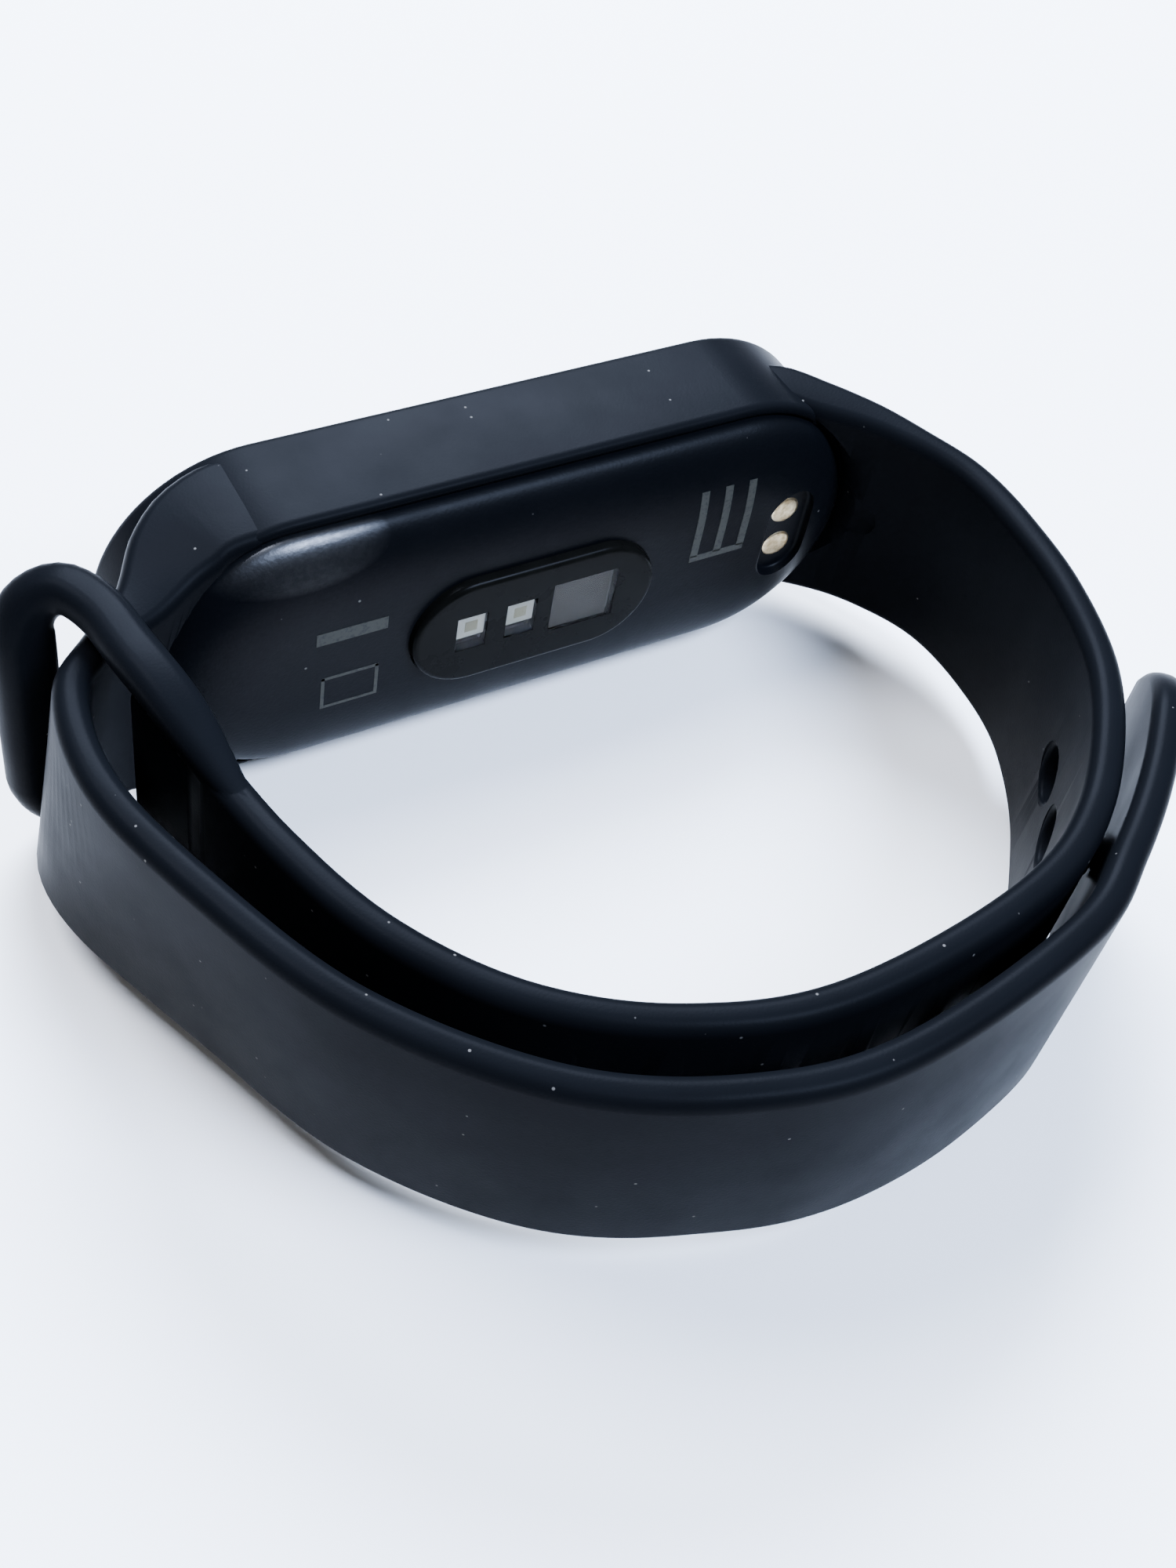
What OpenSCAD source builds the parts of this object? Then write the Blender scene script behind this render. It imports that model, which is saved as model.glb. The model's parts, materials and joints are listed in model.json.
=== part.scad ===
// Fitness tracker band: a pill-shaped tracker capsule held in the frame of a one-piece soft
// wrist strap, closed round as if worn and lying on its edge.
// +X runs along the capsule towards its charging contacts, +Y points out of the display,
// +Z is the wrist axis. Y = 0 is the flat of the capsule's skin side.

/* [Capsule] */
// Length of the tracker capsule
cap_len = 46.95; // [42:0.05:57]
// Width of the tracker capsule
cap_w = 18.15; // [17:0.05:22]
// Distance from the skin side to the front edge of the housing
cap_d = 8.9; // [8.7:0.1:12]
// Depth of the rounding round the skin side, along Y
back_round_d = 2.1; // [1.5:0.1:2.5]
// Width of the rounding round the skin side, inwards from the edge
back_round_w = 6.2; // [5:0.1:6.5]
// Wall thickness of the housing
shell_wall = 1.0; // [0.8:0.1:1.2]
// Step at the front collar of the housing that seats it on the frame's ledge
ledge = 0.2; // [0.15:0.05:0.3]
// Length of the front collar along Y
collar_d = 1.2; // [1:0.1:2]

/* [Sensor] */
// Length of the raised sensor lens
lens_len = 16.4; // [15:0.1:18]
// Width of the raised sensor lens
lens_w = 8.2; // [7.6:0.1:9]
// Height of the lens above the skin side
lens_rise = 0.6; // [0.4:0.1:0.9]
// Width of each light window
led_window_w = 1.8; // [1.4:0.1:2]
// Height of each light window
led_window_h = 2.8; // [2.2:0.1:3.2]
// Width of the photodiode window
diode_window_w = 3.5; // [3:0.1:4]
// Place of the first light window along X
led_x1 = -4.3; // [-4.6:0.1:-4]
// Place of the second light window along X
led_x2 = -1.2; // [-1.4:0.1:-1]
// Place of the photodiode window along X
diode_x = 3.0; // [2.8:0.1:3.4]

/* [Charging] */
// Distance of the contacts from the capsule's end
contact_inset = 5.1; // [4.8:0.1:6]
// Distance between the two contact centres
contact_pitch = 2.9; // [2.8:0.1:3.4]
// Diameter of a contact pad
contact_dia = 2.2; // [1.8:0.1:2.4]
// Depth of the recess that the pads lie in
contact_recess = 0.9; // [0.6:0.1:1]
// Length of the recess along Z
recess_len = 7.0; // [6.4:0.1:7.4]
// Width of the recess along X
recess_w = 3.4; // [3:0.1:3.8]

/* [Strap] */
// Thickness of both straps
strap_t = 1.9; // [1.5:0.1:2.1]
// Width of both straps
strap_w = 16.3; // [15.5:0.1:17]
// Wall of the frame round the capsule's collar
frame_wall = 0.5; // [0.4:0.1:0.8]
// Depth of the frame along Y
frame_d = 7.1; // [6.5:0.1:7.6]
// Thickness of a strap where it leaves the frame
root_t = 3.8; // [3:0.1:4.4]
// Distance from the capsule's skin side to the middle of the lowest strap
ring_d = 34.4; // [32:0.1:41.5]
// Radius of the holes for the clasp
hole_r = 1.7; // [1.5:0.05:1.9]
// Distance between the holes
hole_pitch = 5.0; // [4.6:0.1:6]
// Number of holes
hole_count = 9; // [5:1:10]
// Distance of the first hole along the strap, from where the strap starts inside the frame's end
hole_first = 35.5; // [34:0.5:39]
// Which hole the clasp is pressed into, counted from 0
clasp_hole = 1; // [0:1:1]
// Radius of the corners at the clasp strap's tip
tip_r = 6; // [4:0.5:8]

/* [End loop] */
// Thickness of the loop's end bar
bar_t = 2.7; // [2:0.1:2.8]
// Length of the end bar along the strap
bar_l = 3.4; // [2.4:0.1:3.6]
// Height of each side bar above the strap that passes through
side_bar = 2.0; // [1.4:0.1:2.2]

/* [Clasp] */
// Radius of the clasp's post
post_r = 1.0; // [0.8:0.05:1.2]
// Radius of the clasp's outer button
button_r = 3.0; // [2.4:0.1:3.4]
// Thickness of the clasp's outer button
button_t = 0.7; // [0.5:0.1:0.9]
// Radius of the clasp's head
head_r = 1.45; // [1.2:0.05:1.5]
// Distance that the head reaches into the hole
clasp_depth = 1.2; // [0.6:0.1:1.4]
// Gap between the two strap pieces at the bend line
bend_gap = 0.2; // [0.15:0.05:0.3]

/* [Battery and motor] */
// Length of the battery cell
cell_len = 24; // [20:0.5:25]
// Width of the battery cell
cell_w = 12.6; // [11:0.1:13]
// Thickness of the battery cell
cell_t = 3.2; // [2.8:0.1:3.4]
// Radius of the vibration motor
motor_r = 3.9; // [3.5:0.1:4.1]
// Thickness of the vibration motor
motor_t = 2.8; // [2.6:0.1:3]
// Distance of the motor's middle from the capsule's end
motor_inset = 6.475; // [6.4:0.025:6.8]

/* [Fits] */
// Clearance between the capsule and the frame
cap_fit = 0.05; // [0.03:0.01:0.1]
// Clearance of the strap in the end loop
loop_fit = 0.35; // [0.3:0.05:0.5]
// Running clearance of the motor's weight on its pin
pin_fit = 0.04; // [0.03:0.01:0.08]
// Gap left between stacked inner pieces
stack_gap = 0.1; // [0.05:0.05:0.2]

/* [Hidden] */
$fn = 64;
eps = 0.01;

frame_w = cap_w + 2 * (cap_fit + frame_wall);
mid_z = frame_w / 2;
half_run = (cap_len - cap_w) / 2;
cap_r = cap_w / 2;
rear_r = cap_r - ledge;
frame_r = frame_w / 2;
frame_x = half_run + frame_r;
frame_y0 = back_round_d;
frame_y1 = frame_y0 + frame_d;
frame_mid = frame_y0 + frame_d / 2;
collar_y = cap_d - collar_d;
cavity_r = rear_r - shell_wall;

// Layers of the inner stack, from the skin side to the glass
board_t = 0.6;
adhesive_t = 0.15;
sensor_y = 1.9;
cell_y = sensor_y + board_t + 2 * stack_gap;
pad_y = cell_y + cell_t + stack_gap / 2;
carrier_y = pad_y + adhesive_t;
carrier_t = 0.5;
main_y = carrier_y + carrier_t;
panel_t = 0.7;
film_t = 0.2;
glue_t = 0.15;
glass_y = cap_d + glue_t;
film_y = glass_y - film_t;
panel_y = film_y - panel_t;
glass_rise = 1.8;
glass_inset = 0.25;
cell_x = 0.5;
motor_x = -(cap_len / 2 - motor_inset);
motor_y = 2.9;

// ---- outlines and solids along Y ----
module pill(run, r) {
    square([2 * run, 2 * r], center = true);
    for (s = [-1, 1]) translate([s * run, 0]) circle(r);
}

// Extrudes an outline drawn in X and Z between two distances along Y
module slab(y0, y1) {
    translate([0, y1, mid_z]) rotate([90, 0, 0]) linear_extrude(y1 - y0) children();
}

// A box given by its middle in X and Z, its sizes there and its two distances along Y
module block(x, z, w, h, y0, y1) {
    slab(y0, y1) translate([x, z]) square([w, h], center = true);
}

module post(x, z, r, y0, y1) {
    slab(y0, y1) translate([x, z]) circle(r);
}

// Turns a profile of [distance from the long axis, Y] points into a pill-shaped solid
module pill_solid(run, profile) {
    mirrored = [for (i = [len(profile) - 1 : -1 : 0]) [-profile[i].x, profile[i].y]];
    translate([0, 0, mid_z]) {
        translate([-run, 0, 0]) rotate([0, 90, 0]) linear_extrude(2 * run) polygon(concat(profile, mirrored));
        for (s = [-1, 1]) translate([s * run, 0, 0]) rotate([-90, 0, 0]) rotate_extrude() polygon(profile);
    }
}

// Height of the skin side at a distance r from the long axis, for an edge of radius edge_r
function back_y(r, edge_r) = r <= edge_r - back_round_w ? 0
    : back_round_d * (1 - sqrt(max(0, 1 - pow((r - edge_r + back_round_w) / back_round_w, 2))));

// ---- strap curves ----
// Shape points: X as an offset from the frame's end, outwards, and Y as a share of the ring's depth
loop_side = [[-7.6, 0.165], [-4.2, 0.15], [-0.6, 0.055], [1.6, -0.04], [3.3, -0.155], [3.6, -0.3],
    [2.7, -0.465], [-0.4, -0.66], [-6.6, -0.86], [-13.8, -0.96]];
ring_low = [[-1.5, -1.0]];
far_side = [[-14.5, -0.945], [-8.2, -0.83], [-3.7, -0.66], [-1.1, -0.46], [0.4, -0.25], [1.5, -0.11]];
loop_tip = [[2.1, -0.005], [3.3, 0.06], [5.2, 0.078], [7.1, 0.05]];
stud_side = [[-7.6, 0.15], [-4.2, 0.145], [-0.7, 0.087], [2, 0.005], [4.3, -0.085], [5, -0.26], [3.3, -0.5],
    [-0.8, -0.75], [-7.6, -0.965], [-15.4, -1.078]];
stud_low = [[-0.5, -1.11]];
bend_line = [-12.4, -1.043];
tail_side = [[-6.6, -0.95], [-0.7, -0.815], [5.6, -0.622]];
depth = ring_d;
function right(p) = [frame_x + p.x, p.y * depth];
function left(p) = [-frame_x - p.x, p.y * depth];
function low(p) = [p.x, p.y * depth];
loop_points = concat([for (p = loop_side) right(p)], [for (p = ring_low) low(p)],
    [for (p = far_side) left(p)], [for (p = loop_tip) left(p)]);
stud_points = concat([for (p = stud_side) left(p)], [for (p = stud_low) low(p)], [right(bend_line)],
    [for (p = tail_side) right(p)]);

// Point at t between p[i] and p[i + 1] of a smooth curve that passes through all points
function curve_at(p, i, t) = let (n = len(p) - 1, a = p[max(i - 1, 0)], b = p[i], c = p[i + 1], d = p[min(i + 2, n)])
    0.5 * (2 * b + (c - a) * t + (2 * a - 5 * b + 4 * c - d) * t * t + (3 * b - 3 * c + d - a) * t * t * t);
steps = 5;
function curve(p) = concat([for (i = [0 : len(p) - 2], k = [0 : steps - 1]) curve_at(p, i, k / steps)], [p[len(p) - 1]]);
function unit(v) = v / norm(v);
function tangent(c, i) = unit(c[min(i + 1, len(c) - 1)] - c[max(i - 1, 0)]);
function normal(c, i) = let (t = tangent(c, i)) [t.y, -t.x];
function run_to(c, i) = i <= 0 ? 0 : run_to(c, i - 1) + norm(c[i] - c[i - 1]);
// Index of the last curve point that lies at most a distance s along the curve
function index_at(c, s, i = 0) = i >= len(c) - 2 || run_to(c, i + 1) > s ? i : index_at(c, s, i + 1);
function point_at(c, s) = let (i = index_at(c, s), s0 = run_to(c, i)) c[i] + unit(c[i + 1] - c[i]) * (s - s0);

loop_curve = curve(loop_points);
loop_end = len(loop_curve) - 1;
// Curve point where the strap ends and the end loop's slot begins
slot_i = loop_end - steps * len(loop_tip);
stud_curve = curve(stud_points);
stud_end = len(stud_curve) - 1;
bend_i = stud_end - steps * len(tail_side);
tail_curve = concat([stud_curve[bend_i] + tangent(stud_curve, bend_i) * bend_gap],
    [for (i = [bend_i + 1 : stud_end]) stud_curve[i]]);
tail_end = len(tail_curve) - 1;

// Swept strap from curve point i0 to i1: at each a bevelled oblong, w wide along Z and t thick
module sweep(c, i0, i1, w, t, bevel = 0.45) {
    n = i1 - i0 + 1;
    ring = [[1, 1, 0, -1], [1, 1, -1, 0], [-1, 1, -1, 0], [-1, 1, 0, -1],
        [-1, -1, 0, -1], [-1, -1, -1, 0], [1, -1, -1, 0], [1, -1, 0, -1]];
    points = [for (i = [i0 : i1], q = ring)
        let (m = normal(c, i), a = q[0] * (t[i] / 2 + q[2] * bevel), b = q[1] * (w[i] / 2 + q[3] * bevel))
        [c[i].x + m.x * a, c[i].y + m.y * a, mid_z + b]];
    sides = [for (i = [0 : n - 2], k = [0 : 7]) [i * 8 + k, (i + 1) * 8 + k, (i + 1) * 8 + (k + 1) % 8, i * 8 + (k + 1) % 8]];
    caps = [[for (k = [0 : 7]) k], [for (k = [7 : -1 : 0]) (n - 1) * 8 + k]];
    polyhedron(points, concat(sides, caps), convexity = 8);
}

// Falls from 1 at 0 to 0 at the given length, smoothly
function fade(s, length) = s >= length ? 0 : (1 + cos(180 * s / length)) / 2;
root_fade = 9;
flare_run = 9;
loop_half_w = strap_w / 2 + loop_fit + side_bar;
slot_s = run_to(loop_curve, slot_i);
loop_len = run_to(loop_curve, loop_end);
root_w = frame_w - 1.2;

// ---- strap ----
module frame_blank(r) { slab(frame_y0, frame_y1) pill(half_run, r); }

// What a strap's root leaves free: the frame itself and the way past the capsule's skin side
module root_cut() {
    frame_blank(frame_r);
    slab(-lens_rise, frame_y0 + eps) pill(half_run, rear_r + 0.3);
}

module strap_frame() {
    color([0.09, 0.09, 0.1]) difference() {
        frame_blank(frame_r);
        slab(frame_y0 - 1, collar_y) pill(half_run, rear_r + cap_fit);
        slab(collar_y - eps, frame_y1 + 1) pill(half_run, cap_r + cap_fit);
    }
}

module strap_bore(c, s, r) {
    i = index_at(c, s);
    p = point_at(c, s);
    m = normal(c, i);
    translate([p.x, p.y, mid_z]) rotate([0, 0, atan2(m.y, m.x)]) rotate([0, 90, 0]) cylinder(h = 12, r = r, center = true);
}

module loop_strap() {
    s = [for (i = [0 : loop_end]) run_to(loop_curve, i)];
    w = [for (i = [0 : loop_end]) strap_w + (root_w - strap_w) * fade(s[i], 2.5 * root_fade)
        + (2 * loop_half_w - strap_w) * fade(max(slot_s - s[i], 0), flare_run)];
    t = [for (i = [0 : loop_end]) strap_t + (root_t - strap_t) * fade(s[i], 1.6 * root_fade)
        + (bar_t - strap_t) * fade(max(slot_s - s[i], 0), flare_run)];
    color([0.09, 0.09, 0.1]) difference() {
        sweep(loop_curve, 0, slot_i, w, t);
        root_cut();
        for (k = [0 : hole_count - 1]) strap_bore(loop_curve, hole_first + k * hole_pitch, hole_r);
    }
}

module strap_loop() {
    bar_s = loop_len - bar_l;
    last = index_at(loop_curve, bar_s);
    cut = concat([loop_curve[slot_i] - tangent(loop_curve, slot_i)],
        [for (i = [slot_i : last]) loop_curve[i]], [point_at(loop_curve, bar_s)]);
    m = len(cut) - 1;
    outline = concat([for (i = [0 : m]) cut[i] + normal(cut, i) * 2 * bar_t],
        [for (i = [m : -1 : 0]) cut[i] - normal(cut, i) * 2 * bar_t]);
    same = [for (i = [0 : loop_end]) 1];
    color([0.09, 0.09, 0.1]) difference() {
        sweep(loop_curve, slot_i, loop_end, same * 2 * loop_half_w, same * bar_t);
        translate([0, 0, mid_z - strap_w / 2 - loop_fit]) linear_extrude(strap_w + 2 * loop_fit) polygon(outline);
    }
}

module stud_strap_root() {
    s = [for (i = [0 : bend_i]) run_to(stud_curve, i)];
    w = [for (i = [0 : bend_i]) strap_w + (root_w - strap_w) * fade(s[i], root_fade)];
    t = [for (i = [0 : bend_i]) strap_t + (root_t - strap_t) * fade(s[i], 1.2 * root_fade)];
    color([0.09, 0.09, 0.1]) difference() {
        sweep(stud_curve, 0, bend_i, w, t);
        root_cut();
    }
}

// The clasp stands on the tail where its axis meets the hole that it is pressed into
clasp_s = hole_first + clasp_hole * hole_pitch;
hole_p = point_at(loop_curve, clasp_s);
hole_m = -normal(loop_curve, index_at(loop_curve, clasp_s));
function off_axis(q) = abs((q.x - hole_p.x) * hole_m.y - (q.y - hole_p.y) * hole_m.x);
tail_off = [for (q = tail_curve) off_axis(q)];
clasp_i = [for (i = [0 : tail_end]) if (tail_off[i] == min(tail_off)) i][0];
clasp_p = hole_p + hole_m * ((tail_curve[clasp_i] - hole_p) * hole_m);
// Distance from the tail's inner face to the other strap's outer face
clasp_gap = norm(clasp_p - hole_p) - strap_t;
clasp_turn = atan2(hole_m.y, hole_m.x);
// Places children with the clasp's axis along +Z, 0 at the middle of the tail strap
module on_clasp() {
    translate([clasp_p.x, clasp_p.y, mid_z]) rotate([0, 0, clasp_turn]) rotate([0, 90, 0]) children();
}

button_seat = strap_t / 2 - button_t + 0.2;
neck = 0.25;
module stud_strap_tail() {
    s_end = run_to(tail_curve, tail_end);
    w = [for (i = [0 : tail_end]) let (d = min(s_end - run_to(tail_curve, i), tip_r))
        strap_w - 2 * (tip_r - sqrt(tip_r * tip_r - (tip_r - d) * (tip_r - d)))];
    color([0.09, 0.09, 0.1]) difference() {
        sweep(tail_curve, 0, tail_end, w, [for (i = [0 : tail_end]) strap_t]);
        on_clasp() cylinder(h = 8, r = post_r, center = true);
        on_clasp() translate([0, 0, button_seat]) cylinder(h = 4, r = button_r + 0.05);
    }
}

module clasp_button() {
    color([0.16, 0.16, 0.17]) on_clasp() {
        translate([0, 0, button_seat]) cylinder(h = button_t, r = button_r);
        translate([0, 0, -strap_t / 2 - neck - 0.5]) cylinder(h = strap_t + neck, r = post_r);
    }
}

module clasp_head() {
    head_t = clasp_gap + clasp_depth - neck;
    color([0.16, 0.16, 0.17]) on_clasp() difference() {
        translate([0, 0, -strap_t / 2 - neck - head_t]) cylinder(h = head_t, r = head_r);
        translate([0, 0, -strap_t / 2 - neck - 0.5]) cylinder(h = 2, r = post_r);
    }
}

// ---- capsule ----
contact_x = half_run + cap_r - contact_inset;
contact_z = contact_pitch / 2;
boss_t = 2.4;
seal_y = contact_recess + 0.5;
seal_t = 0.5;
window_run = lens_len / 2 - lens_w / 2;

module capsule_housing() {
    arc_steps = 8;
    arc = [for (k = [0 : arc_steps]) let (r = rear_r - back_round_w + back_round_w * sin(90 * k / arc_steps)) [r, back_y(r, rear_r)]];
    outer = concat([[0, 0]], arc, [[rear_r, collar_y], [cap_r, collar_y], [cap_r, cap_d], [0, cap_d]]);
    inner = [[0, shell_wall], [cavity_r - 3.4, shell_wall], [cavity_r - 1.4, 1.6 * shell_wall],
        [cavity_r, 3.2 * shell_wall], [cavity_r, cap_d + 1], [0, cap_d + 1]];
    color([0.05, 0.05, 0.06]) difference() {
        union() {
            difference() {
                pill_solid(half_run, outer);
                pill_solid(half_run, inner);
            }
            slab(shell_wall - eps, boss_t) translate([contact_x, 0]) square([recess_w + 1.6, recess_len + 1.6], center = true);
        }
        slab(-1, shell_wall + 1) pill(window_run, lens_w / 2 - 0.6);
        slab(-1, contact_recess) translate([contact_x, 0]) rotate(90) pill((recess_len - recess_w) / 2, recess_w / 2);
        for (s = [-1, 1]) {
            post(contact_x, s * contact_z, contact_dia / 2, -1, seal_y);
            post(contact_x, s * contact_z, 1.05, seal_y - eps, seal_y + seal_t);
            post(contact_x, s * contact_z, 0.6, seal_y, boss_t + 1);
        }
    }
}

module windows(grow) {
    for (x = [led_x1, led_x2]) translate([x, 0]) square([led_window_w + grow, led_window_h + grow], center = true);
    translate([diode_x, 0]) square([diode_window_w + grow, led_window_h + 0.2 + grow], center = true);
}

mask_t = 0.1;
module sensor_lens() {
    color([0.12, 0.12, 0.13, 0.5]) slab(-lens_rise, -eps) pill(window_run, lens_w / 2);
}

module lens_mask() {
    color([0.02, 0.02, 0.02]) difference() {
        slab(0, mask_t) pill(window_run, lens_w / 2 - 0.65);
        slab(-1, 1) windows(0);
    }
}

barrier_y0 = mask_t + 0.02;
barrier_y1 = sensor_y - 0.02;
module optical_barrier() {
    color([0.04, 0.04, 0.04]) difference() {
        slab(barrier_y0, barrier_y1) pill(window_run - 0.4, lens_w / 2 - 1.2);
        slab(-1, 3) windows(0.1);
    }
}

package_t = 0.9;
die_t = 0.15;
module light_packages() {
    color([0.85, 0.85, 0.82]) for (x = [led_x1, led_x2])
        block(x, 0.35, led_window_w - 0.1, led_window_h - 0.8, sensor_y - package_t, sensor_y);
}

module light_dies() {
    color([0.85, 0.8, 0.5]) for (x = [led_x1, led_x2]) for (z = [-0.1, 0.8])
        block(x, z, 0.6, 0.4, sensor_y - package_t - die_t, sensor_y - package_t);
}

module photodiode() {
    color([0.45, 0.42, 0.4]) block(diode_x, 0, diode_window_w - 0.2, led_window_h - 0.1, sensor_y - 0.7, sensor_y);
}

module sensor_board() {
    color([0.05, 0.25, 0.12]) slab(sensor_y, sensor_y + board_t) pill(window_run + 0.6, lens_w / 2 - 0.2);
}

module charge_contacts() {
    color([0.85, 0.72, 0.45]) for (s = [-1, 1]) {
        post(contact_x, s * contact_z, contact_dia / 2 - 0.05, contact_recess, seal_y - 0.01);
        post(contact_x, s * contact_z, 0.5, seal_y - 0.02, boss_t + 0.05);
    }
}

module contact_seals() {
    color([0.2, 0.2, 0.2]) for (s = [-1, 1]) translate([contact_x, seal_y + seal_t / 2, mid_z + s * contact_z])
        rotate([-90, 0, 0]) rotate_extrude() translate([0.78, 0]) circle(0.24);
}

flex_t = 0.12;
flex_y = boss_t + 0.06;
flex_rise = main_y - flex_y - stack_gap;
module contact_flex() {
    color([0.75, 0.45, 0.15]) {
        block(contact_x, 0, 2.0, contact_pitch + 2.4, flex_y, flex_y + flex_t);
        block(contact_x - 1.0 - flex_t / 2, 0, flex_t, 3, flex_y, flex_y + flex_rise);
    }
}

magnet_z = recess_len / 2 + 1.45;
module charger_magnets() {
    color([0.7, 0.7, 0.72]) for (s = [-1, 1]) block(contact_x - 2, s * magnet_z, 3.6, 0.9, 2.05 * shell_wall, 2.05 * shell_wall + 1.4);
}

module battery_cell() {
    color([0.72, 0.74, 0.76]) slab(cell_y, cell_y + cell_t) translate([cell_x, 0]) square([cell_len, cell_w], center = true);
}

module battery_adhesive() {
    color([0.9, 0.9, 0.85]) block(cell_x, 0, cell_len - 3, cell_w - 3, pad_y, pad_y + adhesive_t - 0.02);
}

cell_end = cell_x + cell_len / 2;
module battery_board() {
    color([0.05, 0.25, 0.12]) block(cell_end + stack_gap + 0.3, 0, 0.6, cell_w - 3, cell_y + 0.4, cell_y + cell_t - 0.4);
}

module mid_frame() {
    color([0.12, 0.12, 0.13]) difference() {
        slab(carrier_y, carrier_y + carrier_t - 0.02) pill(half_run, cavity_r - 0.1);
        block(contact_x - 1.0, 0, 1.2, 4, 0, cap_d);
        block(-12.6, 0, 3, 5, 0, cap_d);
    }
}

board_run = half_run - 1;
module main_board() {
    color([0.04, 0.2, 0.32]) slab(main_y, main_y + board_t) pill(board_run, cavity_r - 0.7);
}

chip_y = main_y + board_t;
chip_room = panel_y - chip_y - stack_gap;
shield_t = chip_room;
shield_wall = 0.12;
module rf_shield() {
    color([0.75, 0.76, 0.78]) difference() {
        block(4, 0, 10, 8, chip_y, chip_y + shield_t);
        block(4, 0, 10 - 2 * shield_wall, 8 - 2 * shield_wall, chip_y - 1, chip_y + shield_t - shield_wall);
    }
}

module board_chips() {
    color([0.07, 0.07, 0.08]) {
        block(2, 0, 4, 4, chip_y, chip_y + shield_t - shield_wall - stack_gap);
        block(6.5, 1.2, 2.4, 2.4, chip_y, chip_y + shield_t - shield_wall - stack_gap);
        block(-5, 2.5, 2.6, 2.6, chip_y, chip_y + 0.6 * shield_t);
        block(-5, -2.5, 2.0, 2.0, chip_y, chip_y + 0.6 * shield_t);
        block(11.5, 3, 1.6, 2.4, chip_y, chip_y + 0.6 * shield_t);
    }
}

module board_connectors() {
    color([0.9, 0.88, 0.8]) {
        block(-9.5, 0, 1.6, 5, chip_y, chip_y + 0.5 * shield_t);
        block(12, -2.6, 1.6, 3.2, chip_y, chip_y + 0.5 * shield_t);
    }
}

module antenna() {
    antenna_y = main_y + stack_gap;
    color([0.8, 0.65, 0.3]) difference() {
        slab(antenna_y, antenna_y + 0.4) pill(half_run, cavity_r - 0.1);
        slab(antenna_y - 1, antenna_y + 1) pill(half_run, cavity_r - 0.45);
        block(0, 0, 2 * (half_run + 1), 30, 0, cap_d);
        block(-half_run, 0, 30, 30, 0, cap_d);
    }
}

can_wall = 0.2;
can_y1 = motor_y + motor_t;
pin_r = 0.35;
module motor_can() {
    color([0.78, 0.79, 0.8]) difference() {
        post(motor_x, 0, motor_r, motor_y, can_y1);
        post(motor_x, 0, motor_r - can_wall, motor_y + can_wall, can_y1 - can_wall);
    }
}

module motor_pin() {
    color([0.6, 0.6, 0.62]) post(motor_x, 0, pin_r, motor_y + can_wall, can_y1 - can_wall);
}

module motor_weight() {
    weight_r = motor_r - can_wall - 0.25;
    y0 = motor_y + can_wall + 0.3;
    y1 = can_y1 - can_wall - 0.3;
    color([0.45, 0.45, 0.47]) difference() {
        union() {
            intersection() {
                post(motor_x, 0, weight_r, y0, y1);
                block(motor_x, -weight_r / 2 - 0.1, 3 * weight_r, weight_r, y0, y1);
            }
            post(motor_x, 0, 0.95, y0, y1);
        }
        post(motor_x, 0, pin_r + pin_fit, y0 - 1, y1 + 1);
    }
}

module motor_cradle() {
    color([0.2, 0.2, 0.22]) difference() {
        post(motor_x, 0, motor_r + 0.6, 2.4, motor_y + 0.9);
        post(motor_x, 0, motor_r + 0.05, motor_y, can_y1);
    }
}

module display_panel() {
    color([0.05, 0.06, 0.09]) slab(panel_y, panel_y + panel_t - 0.02) pill(half_run - 3, cavity_r - 0.6);
}

module display_flex() {
    color([0.75, 0.45, 0.15]) {
        block(-9.5, 0, 3.6, 4.4, chip_y + 0.5 * shield_t + 0.02, chip_y + 0.5 * shield_t + 0.02 + flex_t);
        block(-11.3 - flex_t / 2, 0, flex_t, 4.4, chip_y + 0.5 * shield_t + 0.02, panel_y - 0.02);
    }
}

module touch_film() {
    color([0.3, 0.33, 0.36, 0.5]) slab(film_y, glass_y - 0.02) pill(half_run - 1, cavity_r - 0.2);
}

module glass_adhesive() {
    color([0.1, 0.1, 0.1]) difference() {
        slab(cap_d, glass_y) pill(half_run, cap_r - glass_inset);
        slab(cap_d - 1, glass_y + 1) pill(half_run, cavity_r);
    }
}

module cover_glass() {
    r = cap_r - glass_inset;
    dome = [for (k = [0 : 8]) [r - 5 + 5 * cos(90 * k / 8), glass_y + 0.35 + (glass_rise - 0.35) * sin(90 * k / 8)]];
    color([0.03, 0.03, 0.04, 0.8]) pill_solid(half_run, concat([[0, glass_y], [r, glass_y]], dome, [[0, glass_y + glass_rise]]));
}

// The origin lies in the middle of the frame's lower long side
translate([0, -frame_mid, 0]) {
    strap_frame();
    loop_strap();
    strap_loop();
    stud_strap_root();
    stud_strap_tail();
    clasp_button();
    clasp_head();
    capsule_housing();
    lens_mask();
    sensor_lens();
    optical_barrier();
    light_packages();
    light_dies();
    photodiode();
    sensor_board();
    charge_contacts();
    contact_seals();
    contact_flex();
    charger_magnets();
    battery_cell();
    battery_adhesive();
    battery_board();
    mid_frame();
    main_board();
    rf_shield();
    board_chips();
    board_connectors();
    antenna();
    motor_cradle();
    motor_can();
    motor_pin();
    motor_weight();
    display_panel();
    display_flex();
    touch_film();
    glass_adhesive();
    cover_glass();
}
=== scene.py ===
"""Fitness tracker band: the visual model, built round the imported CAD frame."""

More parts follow.
